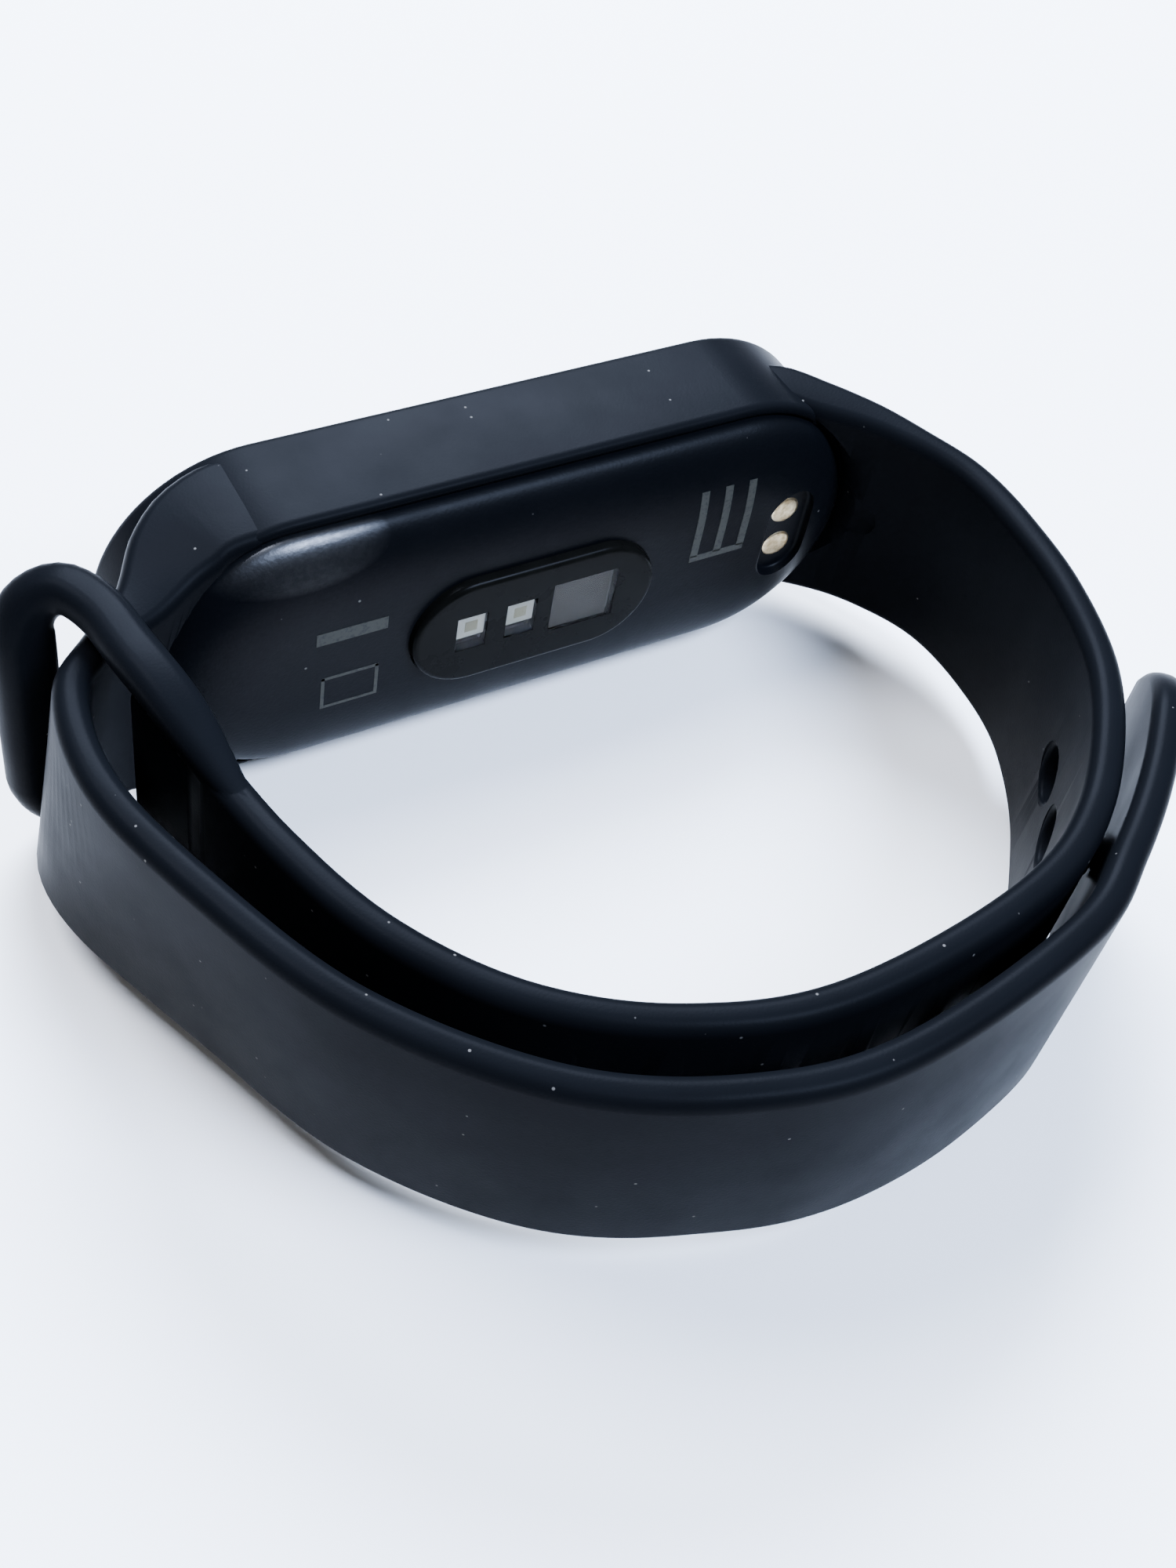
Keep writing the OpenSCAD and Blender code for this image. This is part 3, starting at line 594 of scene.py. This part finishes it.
# Finish of each piece that stays as the frame has it: material name, two tones, roughness, grain in mm,
# metallic and transmission
INNER_FINISHES = {
    "solder_mask_green": ("16492a", "0f3a20", 0.35, 0.3, 0.0, 0.0),
    "black_moulding": ("121212", "0b0b0b", 0.6, 0.2, 0.0, 0.0),
    "silicone_dark": ("2a2a2b", "202021", 0.65, 0.3, 0.0, 0.0),
    "polyimide_amber": ("a85f18", "8c4b10", 0.35, 0.4, 0.0, 0.0),
    "nickel_plate": ("bdbdbb", "a3a3a2", 0.3, 0.2, 1.0, 0.0),
    "laminate_foil": ("b4b8bd", "9da1a6", 0.4, 0.5, 0.9, 0.0),
    "acrylic_tape": ("d9d9cf", "c9c9bf", 0.7, 0.4, 0.0, 0.0),
    "ivory_LCP": ("d8cfb4", "c6bda2", 0.5, 0.25, 0.0, 0.0),
    "gold_stamping": ("d8b878", "b9985a", 0.3, 0.2, 1.0, 0.0),
    "sintered_tungsten": ("6f7073", "58595c", 0.5, 0.12, 1.0, 0.0),
    "display_black": ("0c0e14", "07080c", 0.15, 0.5, 0.0, 0.0),
    "clear_film": ("c8ccd0", "b8bcc0", 0.1, 0.5, 0.0, 0.8),
    "black_ink": ("0b0b0b", "080808", 0.5, 0.2, 0.0, 0.0),
}
NODE_FINISH = {
    "sensor_board": "solder_mask_green", "battery_board": "solder_mask_green",
    "main_board": "solder_mask_green", "optical_barrier": "black_moulding", "mid_frame": "black_moulding",
    "board_chips": "black_moulding", "contact_seals": "silicone_dark", "motor_cradle": "silicone_dark",
    "contact_flex": "polyimide_amber", "display_flex": "polyimide_amber", "charger_magnets": "nickel_plate",
    "rf_shield": "nickel_plate", "motor_can": "nickel_plate", "motor_pin": "nickel_plate",
    "battery_cell": "laminate_foil", "battery_adhesive": "acrylic_tape", "board_connectors": "ivory_LCP",
    "antenna": "gold_stamping", "motor_weight": "sintered_tungsten", "display_panel": "display_black",
    "touch_film": "clear_film", "glass_adhesive": "black_ink", "lens_mask": "black_ink",
}


# ---------------------------------------------------------------- operators
class BAND_OT_inner_parts(bpy.types.Operator):
    """Give every part that stays as the frame has it its own finish"""
    bl_idname = "band.inner_parts"
    bl_label = "Inner parts"

    def execute(self, context):
        made = {key: finish(key, *values) for key, values in INNER_FINISHES.items()}
        for node, key in NODE_FINISH.items():
            mesh = NODES[node].data
            mesh.materials.clear()
            mesh.materials.append(made[key])
        return {"FINISHED"}


class BAND_OT_frame_ring(bpy.types.Operator):
    """Build the soft frame that holds the capsule"""
    bl_idname = "band.frame_ring"
    bl_label = "Frame ring"

    def execute(self, context):
        rim, lip = 0.55 * MM, 0.25 * MM
        inner = REAR_R + 0.05 * MM
        profile = ([(inner, REAR_Y + lip)] + arc(inner + lip, REAR_Y + lip, lip, lip, 200, 270, 3)
                   + arc(FRAME_R - 0.4 * MM, REAR_Y + rim, 0.4 * MM, rim, 270, 360, 6)
                   + arc(FRAME_R - 0.3 * MM, FRONT_Y - rim, 0.3 * MM, rim, 0, 90, 6)
                   + [(CAP_R + 0.1 * MM, FRONT_Y - 0.03 * MM), (CAP_R + 0.05 * MM, FRONT_Y - 0.3 * MM),
                      (inner, FRONT_Y - 1.5 * MM)])
        bm = bmesh.new()
        pill(bm, profile, RUN, closed=True, steps=40)
        piece = finish_piece(bm, "strap_frame_ring", "strap",
                             strap_elastomer(context.scene.band_colours), 60)
        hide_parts("strap_frame")
        return {"FINISHED"}


class BAND_OT_hole_strap(bpy.types.Operator):
    """Build the strap with the holes and the round-barred loop at its end"""
    bl_idname = "band.hole_strap"
    bl_label = "Strap with holes and loop"

    def execute(self, context):
        scene = context.scene
        sizes = scene.band_sizes
        route = hole_route(sizes.ring_depth)
        far = Route(on_side(HOLE_FAR[-1:] + LOOP_TIP, sizes.ring_depth, -1), 1)
        slot_s, slot_round = route.length - far.length, 0.9 * MM
        bm = bmesh.new()
        count = int(slot_s / STATION_STEP)
        stations = []
        for k in range(count + 1):
            s = slot_s * k / count
            half_w = (sizes.width + (sizes.hole_root_width - sizes.width) * fade(s, 18 * MM)) / 2
            half_t = (sizes.thickness + (sizes.hole_root - sizes.thickness) * fade(s, 15 * MM)) / 2
            end = slot_s - s
            if end < slot_round:
                half_t *= math.sqrt(max(1 - ((slot_round - end) / slot_round) ** 2, 0.04))
            lean = sizes.lean * fade(6 * MM - s, 6 * MM) * fade(s - 22 * MM, 16 * MM)
            stations.append((route.placing(s, lean), half_t, half_w, min(EDGE_R, half_t * 0.85)))
        sweep(bm, stations)
        cutter = bmesh.new()
        for k in range(HOLES):
            place = route.placing(sizes.hole_first + k * sizes.hole_pitch)
            r, h, lip = sizes.hole_radius, sizes.thickness / 2, 0.28 * MM
            wall = [(0, -2 * h), (r + 2 * lip, -2 * h), (r + lip, -h)]
            wall += [(r + lip * (1 - math.sin(a)), -h + lip * (1 - math.cos(a)))
                     for a in (0.5, 1.0, math.pi / 2)]
            made = lathe(cutter, wall + [(x, -y) for x, y in reversed(wall)], 32)
            bmesh.ops.rotate(cutter, cent=(0, 0, 0), matrix=Matrix.Rotation(math.pi / 2, 3, "Y"), verts=made)
            bmesh.ops.transform(cutter, matrix=place, verts=made)
        # a shallow round dimple on the inner face, beside the frame
        dimple_s, half = 10 * MM, 1.15 * MM
        made = lathe(cutter, [(0, -4 * half), (1.5 * MM, -4 * half), (1.5 * MM, 0.15 * MM - half),
                              (1.3 * MM, 0.3 * MM - half), (0, 0.3 * MM - half)], 32)
        bmesh.ops.rotate(cutter, cent=(0, 0, 0), matrix=Matrix.Rotation(math.pi / 2, 3, "Y"), verts=made)
        bmesh.ops.transform(cutter, matrix=route.placing(dimple_s), verts=made)
        bm = combine(bm, cutter, "DIFFERENCE")
        loop = bmesh.new()
        self.loop(loop, route, slot_s, sizes)
        bm = combine(bm, loop, "UNION")
        bm = clear_capsule(bm)
        piece = finish_piece(bm, "strap_with_holes", "strap",
                             strap_elastomer(scene.band_colours), 50)
        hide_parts("loop_strap", "strap_loop")
        return {"FINISHED"}

    def loop(self, bm, route, slot_s, sizes):
        """The loop's bars: one thick bar along the top, down the end and back along the bottom"""
        half_z, half_t, half_end = sizes.side_bar / 2, sizes.bar / 2, 1.75 * MM
        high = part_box("strap_loop")[1][2] - MID_Z - half_z
        low = sizes.width / 2 - 1.5 * MM
        begin = slot_s - 12 * MM
        end_s = route.length - half_end
        spots = []
        for side, corner in ((1, 3.2 * MM), (-1, 4.4 * MM)):
            bar = []
            for k in range(33):
                s = begin + (end_s - corner - begin) * k / 32
                bar.append((s, side * (high - (high - low) * fade(s - begin, slot_s - begin)), half_z))
            for k in range(1, 11):
                a = math.pi / 2 * k / 10
                bar.append((end_s - corner + corner * math.sin(a), side * (high - corner * (1 - math.cos(a))),
                            half_z + (half_end - half_z) * k / 10))
            spots += bar + [(end_s, z * MM, half_end) for z in (3.5, 1.2, -1.2)] if side > 0 else bar[::-1]
        points = [route.at(s) + Vector((0, 0, z)) for s, z, half in spots]
        stations = []
        for i, (s, z, half) in enumerate(spots):
            t = (points[min(i + 1, len(points) - 1)] - points[max(i - 1, 0)]).normalized()
            out = route.placing(s).to_3x3().col[0]
            out = (out - t * out.dot(t)).normalized()
            m = Matrix((out, t.cross(out), t)).transposed().to_4x4()
            m.translation = points[i]
            thick = half_t - (half_t - 0.5 * MM) * fade(s - begin, 9 * MM)
            stations.append((m, thick, half, min(thick, half) * 0.88))
        sweep(bm, stations)


class BAND_OT_stud_strap(bpy.types.Operator):
    """Build the outer strap that passes through the loop and carries the clasp"""
    bl_idname = "band.stud_strap"
    bl_label = "Strap with the clasp"

    def execute(self, context):
        scene = context.scene
        sizes = scene.band_sizes
        route = stud_route(sizes.ring_depth)
        bm = bmesh.new()
        count = int(route.length / STATION_STEP)
        tip = sizes.tip_radius
        runs = [route.length * k / count for k in range(count + 1)]
        runs += [route.length - d * MM for d in (0.45, 0.25, 0.12, 0.05)]
        bend_s = self.bend_run(route)
        stations = []
        for s in sorted(runs):
            end = route.length - s
            low = (1 - fade(s - 13 * MM, 20 * MM)) * fade(s - bend_s + 22 * MM, 18 * MM)
            half_w = (sizes.width + (sizes.clasp_root_width - sizes.width) * fade(s, 10 * MM)) / 2
            half_t = (sizes.thickness + (sizes.clasp_root - sizes.thickness) * fade(s, 13 * MM)) / 2
            inset = 0.25 * (2 * half_t - sizes.thickness) * (1 - fade(s, 7 * MM)) - 0.3 * MM * fade(s, 5 * MM)
            inset += sizes.width / 2 * math.sin(math.radians(sizes.low_lean)) * low
            inward = Matrix.Translation((-inset, 0, 0))
            if end < tip:
                half_w -= tip - math.sqrt(max(tip ** 2 - (tip - end) ** 2, 0))
            if end < EDGE_R:
                half_t *= math.sqrt(max(1 - ((EDGE_R - end) / EDGE_R) ** 2, 0.05))
            lean = sizes.clasp_lean * fade(10 * MM - s, 5 * MM) * fade(s - 12 * MM, 14 * MM)
            lean -= sizes.low_lean * low
            stations.append((route.placing(s, lean) @ inward, half_t, half_w, min(EDGE_R, half_t * 0.85)))
        sweep(bm, stations)
        bm = clear_capsule(bm)
        piece = finish_piece(bm, "strap_with_clasp", None, strap_elastomer(scene.band_colours), 50)
        along = route.tangent(bend_s)
        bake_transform(piece)
        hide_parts("stud_strap_root", "stud_strap_tail")
        return {"FINISHED"}

    def bend_run(self, route):
        """Distance along the strap of the line that the tail bends about"""
        return min(route.runs, key=lambda s: (route.at(s) - TAIL_BEND).xy.length)


class BAND_OT_clasp(bpy.types.Operator):
    """Finish the clasp's button and head"""
    bl_idname = "band.clasp"
    bl_label = "Clasp"

    def execute(self, context):
        made = finish("POM_moulded_black", "0c0c0d", "080809", 0.4, 0.15, specular=0.03)
        for node in ("clasp_button", "clasp_head"):
            mesh = NODES[node].data
            mesh.materials.clear()
            mesh.materials.append(made)
        return {"FINISHED"}


def back_y(r, width):
    """Height of the skin side at a distance r from the long axis"""
    inside = REAR_R - width
    if r <= inside:
        return 0.0
    return REAR_Y * (1 - math.sqrt(max(0.0, 1 - ((r - inside) / width) ** 2)))


class BAND_OT_housing(bpy.types.Operator):
    """Build the capsule's housing with its rounded skin side and charging recess"""
    bl_idname = "band.housing"
    bl_label = "Housing"

    def execute(self, context):
        scene = context.scene
        width = scene.band_sizes.back_round_w
        top = CAP_TOP
        rounding = [REAR_R - width + width * math.sin(math.pi / 2 * k / 16) for k in range(17)]
        outer = [(0, 0)] + [(r, back_y(r, width)) for r in rounding]
        outer += [(REAR_R, top - 1.2 * MM), (CAP_R, top - 1.15 * MM), (CAP_R, top), (CAP_R - 1.2 * MM, top),
                  (CAP_R - 1.2 * MM, 3.2 * MM), (CAP_R - 2.6 * MM, 1.6 * MM), (CAP_R - 4.6 * MM, 1.0 * MM),
                  (0, 1.0 * MM)]
        bm = bmesh.new()
        pill(bm, outer, RUN, steps=40)
        cutter = bmesh.new()
        recess_r, corner, rim = 1.7 * MM, 0.22 * MM, 0.25 * MM
        wall = [(0, RECESS_Y), (recess_r - corner, RECESS_Y)]
        wall += arc(recess_r - corner, RECESS_Y - corner, corner, corner, 90, 0, 3) + [(recess_r, rim)]
        wall += [(recess_r + rim * (1 - math.cos(a)), rim * (1 - math.sin(a))) for a in (0.5, 1.0, 1.4)]
        wall += [(recess_r + 0.3 * MM, -1 * MM), (0, -1 * MM)]
        pill(cutter, wall, 1.8 * MM, steps=20, centre=(PAD_X, 0), upright=True)
        bm = combine(bm, cutter, "DIFFERENCE")
        well = bmesh.new()
        well_r = LENS_R - 0.6 * MM
        pill(well, [(0, -1 * MM), (well_r, -1 * MM), (well_r, 2 * MM), (0, 2 * MM)], LENS_RUN)
        bm = combine(bm, well, "DIFFERENCE")
        piece = finish_piece(bm, "housing_shell", "capsule",
                             housing_plastic(scene.band_colours), 42)
        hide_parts("capsule_housing")
        return {"FINISHED"}


class BAND_OT_sensor(bpy.types.Operator):
    """Build the raised sensor lens, its windows and what shows through them"""
    bl_idname = "band.sensor"
    bl_label = "Sensor"

    def execute(self, context):
        colours = context.scene.band_colours
        low = LENS_Y
        flat_r, round_y = LENS_R - 0.5 * MM, 0.35 * MM
        profile = [(0, low), (flat_r, low)] + arc(flat_r, low + round_y, 0.4 * MM, round_y, -90, 0, 6)
        profile += [(LENS_R - 0.05 * MM, 0.0), (LENS_R, 0.02 * MM), (LENS_R - 0.4 * MM, 0.04 * MM),
                    (0, 0.04 * MM)]
        bm = bmesh.new()
        pill(bm, profile, LENS_RUN, steps=32)
        cutter = bmesh.new()
        windows = self.windows()
        for x, z, w, h in windows:
            block(cutter, (x - w / 2, -2 * MM, MID_Z + z - h / 2), (x + w / 2, 2 * MM, MID_Z + z + h / 2))
        bm = combine(bm, cutter, "DIFFERENCE")
        lens = finish_piece(bm, "lens_face", "capsule", lens_plastic(colours), 35)
        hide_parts("sensor_lens")
        self.panes(low, windows)
        self.lights(low, windows)
        return {"FINISHED"}

    def windows(self):
        """Middle and size of each window in X and Z"""
        lights = [(x * MM, 0.15 * MM, 2.0 * MM, 2.7 * MM) for x in (-4.35, -1.1)]
        return lights + [(3.15 * MM, 0.2 * MM, 4.4 * MM, 3.9 * MM)]

    def panes(self, low, windows):
        """A thin clear pane in each window"""
        bm = bmesh.new()
        for x, z, w, h in windows:
            block(bm, (x - w / 2, low + 0.02 * MM, MID_Z + z - h / 2),
                  (x + w / 2, low + 0.14 * MM, MID_Z + z + h / 2))
        finish_piece(bm, "window_panes", "capsule", clear_pane(), 30)

    def lights(self, low, windows):
        """What shows through the windows: trays, light packages with their dies, and the photodiode"""
        trays, packages, dies = bmesh.new(), bmesh.new(), bmesh.new()
        for x, z, w, h in windows[:2]:
            block(trays, (x - w / 2, 0.25 * MM, MID_Z + z - h / 2), (x + w / 2, 0.5 * MM, MID_Z + z + h / 2))
            block(packages, (x - w / 2 + 0.06 * MM, low + 0.2 * MM, MID_Z - 0.35 * MM),
                  (x + w / 2 - 0.1 * MM, BOARD_Y, MID_Z + z + h / 2 - 0.05 * MM), 0.08 * MM)
            block(dies, (x - 0.42 * MM, low + 0.185 * MM, MID_Z + 0.1 * MM),
                  (x + 0.42 * MM, low + 0.3 * MM, MID_Z + 0.95 * MM), 0.04 * MM)
        x, z, w, h = windows[2]
        block(trays, (x - w / 2, 0.1 * MM, MID_Z + z - h / 2), (x + w / 2, 0.3 * MM, MID_Z + z + h / 2))
        finish_piece(trays, "window_trays", "capsule",
                     finish("LCP_tray_grey", "3a3934", "302f2b", 0.5, 0.2, specular=0.1), 30)
        piece = finish_piece(packages, "light_package_set", "capsule",
                             finish("epoxy_white_package", "b5b4a9", "a3a297", 0.4, 0.2, specular=0.2), 30)
        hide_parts("light_packages")
        piece = finish_piece(dies, "light_die_set", "capsule",
                             finish("phosphor_coated_die", "8f8a72", "7c775f", 0.4, 0.15, specular=0.2), 30)
        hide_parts("light_dies")
        diode = bmesh.new()
        block(diode, (x - w / 2 + 0.02 * MM, low + 0.22 * MM, MID_Z + z - h / 2 + 0.02 * MM),
              (x + w / 2 - 0.35 * MM, BOARD_Y, MID_Z + z + h / 2 - 0.02 * MM), 0.05 * MM)
        piece = finish_piece(diode, "photodiode_face", "capsule",
                             finish("silicon_diode_taupe", "332f2b", "2b2825", 0.35, 0.3, specular=0.05), 30)
        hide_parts("photodiode")


class BAND_OT_contacts(bpy.types.Operator):
    """Build the two round charging contacts"""
    bl_idname = "band.contacts"
    bl_label = "Charging contacts"

    def execute(self, context):
        bm = bmesh.new()
        for side in (1, -1):
            profile = [(0, RECESS_Y - 0.06 * MM), (PAD_R * 0.75, RECESS_Y - 0.06 * MM)]
            profile += [(PAD_R * 0.92, RECESS_Y - 0.02 * MM), (PAD_R, RECESS_Y + 0.08 * MM),
                        (PAD_R, RECESS_Y + 0.4 * MM),
                        (0.5 * MM, RECESS_Y + 0.45 * MM), (0.5 * MM, PAD_DEEP), (0, PAD_DEEP)]
            made = lathe(bm, profile, 36)
            bmesh.ops.rotate(bm, cent=(0, 0, 0), matrix=Matrix.Rotation(-math.pi / 2, 3, "X"), verts=made)
            bmesh.ops.translate(bm, vec=(PAD_X, SKIN_Y, MID_Z + side * PAD_Z), verts=made)
        piece = finish_piece(bm, "charge_pads", "capsule", plated_gold(), 40)
        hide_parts("charge_contacts")
        return {"FINISHED"}


class BAND_OT_marks(bpy.types.Operator):
    """Print plain generic bars where a tracker carries its marks"""
    bl_idname = "band.marks"
    bl_label = "Printed marks"

    def execute(self, context):
        width = context.scene.band_sizes.back_round_w
        bm = bmesh.new()
        film = 0.02 * MM
        # middle in X and Z and size of each bar, in mm: a bar and a frame at one end, a grid at the other
        bars = [(-11.8, 2.4, 4.4, 0.95), (-11.8, -1.0, 3.6, 0.22), (-11.8, -3.4, 3.6, 0.22),
                (-13.5, -2.2, 0.22, 2.6), (-10.1, -2.2, 0.22, 2.6)]
        bars += [(x, 3.1, 0.55, 5.2) for x in (11.2, 12.9, 14.6)] + [(12.9, 0.35, 3.9, 0.5)]
        for x, z, w, h in bars:
            old = set(bm.verts)
            grid = bmesh.ops.create_grid(bm, x_segments=6, y_segments=6, size=0.5)["verts"]
            for v in grid:
                px, pz = (x + v.co.x * w) * MM, (z + v.co.y * h) * MM
                r = math.hypot(max(abs(px) - RUN, 0), pz)
                v.co = Vector((px, SKIN_Y + back_y(r, width) - film, MID_Z + pz))
            faces = list({f for v in grid for f in v.link_faces})
            made = bmesh.ops.extrude_face_region(bm, geom=faces)["geom"]
            lifted = [g for g in made if isinstance(g, bmesh.types.BMVert)]
            bmesh.ops.translate(bm, vec=(0, 2 * film, 0), verts=lifted)
        finish_piece(bm, "printed_bars", "capsule", print_ink(context.scene.band_colours), 40)
        return {"FINISHED"}


class BAND_OT_glass(bpy.types.Operator):
    """Build the domed cover glass over the display"""
    bl_idname = "band.glass"
    bl_label = "Cover glass"

    def execute(self, context):
        low, high = GLASS_LOW[1] - SKIN_Y, GLASS_HIGH[1] - SKIN_Y
        r = (GLASS_HIGH[2] - GLASS_LOW[2]) / 2
        rim = 0.35 * MM
        profile = [(0, low), (r - 0.1 * MM, low), (r, low + 0.1 * MM)]
        profile += arc(r - 5 * MM, low + rim, 5 * MM, high - low - rim, 0, 90, 18) + [(0, high)]
        bm = bmesh.new()
        pill(bm, profile, RUN, steps=40)
        piece = finish_piece(bm, "cover_glass_dome", "capsule", dark_glass(), 45)
        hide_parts("cover_glass")
        return {"FINISHED"}


class BAND_OT_stage(bpy.types.Operator):
    """Set the floor, the camera and soft studio light"""
    bl_idname = "band.stage"
    bl_label = "Stage"

    def execute(self, context):
        scene = context.scene
        bm = bmesh.new()
        bmesh.ops.create_grid(bm, x_segments=1, y_segments=1, size=3.0)
        bmesh.ops.translate(bm, vec=(0, 0, CAD_BOUNDS[0][2]), verts=bm.verts)
        material, tree, shader, place = new_material("paper_white")
        cloud = noise(tree, place, 60.0)
        tree.links.new(shader.inputs["Base Color"],
                       mixed(tree, cloud, linear(scene.band_colours.floor), linear("f7f5ef")))
        shader.inputs["Roughness"].default_value = 0.9
        floor = finish_piece(bm, "floor", None, material)
        self.camera(scene)
        self.lights(scene)
        return {"FINISHED"}

    def camera(self, scene):
        """Looks down at the skin side from the wearer's side"""
        data = bpy.data.cameras.new("camera")
        data.sensor_width = 36.0
        data.lens = 44.4
        data.clip_start = 0.005
        camera = bpy.data.objects.new("camera", data)
        scene.collection.objects.link(camera)
        place = Vector((-46.0, -67.9, 82.4)) * MM + Vector((0, SKIN_Y, MID_Z))
        yaw, pitch, roll = 0.663, 0.871, 0.219
        ahead = Vector((math.sin(yaw) * math.cos(pitch), math.cos(yaw) * math.cos(pitch), -math.sin(pitch)))
        right = Vector((math.cos(yaw), -math.sin(yaw), 0))
        up = right.cross(ahead)
        turned_right = right * math.cos(roll) + up * math.sin(roll)
        turned_up = up * math.cos(roll) - right * math.sin(roll)
        m = Matrix((turned_right, turned_up, -ahead)).transposed().to_4x4()
        m.translation = place
        camera.matrix_world = m
        scene.camera = camera

    def lights(self, scene):
        world = bpy.data.worlds.new("studio")
        world.use_nodes = True
        sky = world.node_tree.nodes["Background"]
        sky.inputs["Color"].default_value = linear("eef1f6")
        sky.inputs["Strength"].default_value = 0.25
        scene.world = world
        # name, place, target, size, power, colour
        rig = [
            ("window", (0.14, 0.34, 0.38), (0, -0.01, 0.01), 0.32, 22.0, "d3e2ff"),
            ("ceiling", (-0.16, 0.20, 0.50), (0, -0.01, 0.01), 0.26, 7.0, "dfe8ff"),
            ("lamp", (0.14, -0.26, 0.42), (0, -0.02, 0.01), 0.20, 9.0, "c4d8ff"),
        ]
        for name, place, target, size, power, colour in rig:
            data = bpy.data.lights.new(name, "AREA")
            data.shape = "DISK"
            data.size = size
            data.energy = power
            data.color = linear(colour)[:3]
            lamp = bpy.data.objects.new(name, data)
            lamp.location = place
            lamp.rotation_euler = (Vector(target) - Vector(place)).to_track_quat("-Z", "Y").to_euler()
            scene.collection.objects.link(lamp)


OPERATORS = (BAND_OT_stage, BAND_OT_inner_parts, BAND_OT_frame_ring, BAND_OT_hole_strap, BAND_OT_stud_strap,
             BAND_OT_clasp, BAND_OT_housing, BAND_OT_sensor, BAND_OT_contacts, BAND_OT_marks, BAND_OT_glass)


class BAND_PT_panel(bpy.types.Panel):
    """Lists the pieces of the band"""
    bl_idname = "BAND_PT_panel"
    bl_label = "Tracker band"
    bl_space_type = "VIEW_3D"
    bl_region_type = "UI"
    bl_category = "Band"

    def draw(self, context):
        for operator in OPERATORS:
            self.layout.operator(operator.bl_idname)


CLASSES = (BandSizes, BandColours) + OPERATORS + (BAND_PT_panel,)


def register():
    for cls in CLASSES:
        bpy.utils.register_class(cls)
    bpy.types.Scene.band_sizes = PointerProperty(type=BandSizes)
    bpy.types.Scene.band_colours = PointerProperty(type=BandColours)


def unregister():
    del bpy.types.Scene.band_colours
    del bpy.types.Scene.band_sizes
    for cls in reversed(CLASSES):
        bpy.utils.unregister_class(cls)


def main():
    register()
    for operator in OPERATORS:
        module, name = operator.bl_idname.split(".")
        getattr(getattr(bpy.ops, module), name)()


if __name__ == "__main__":
    main()
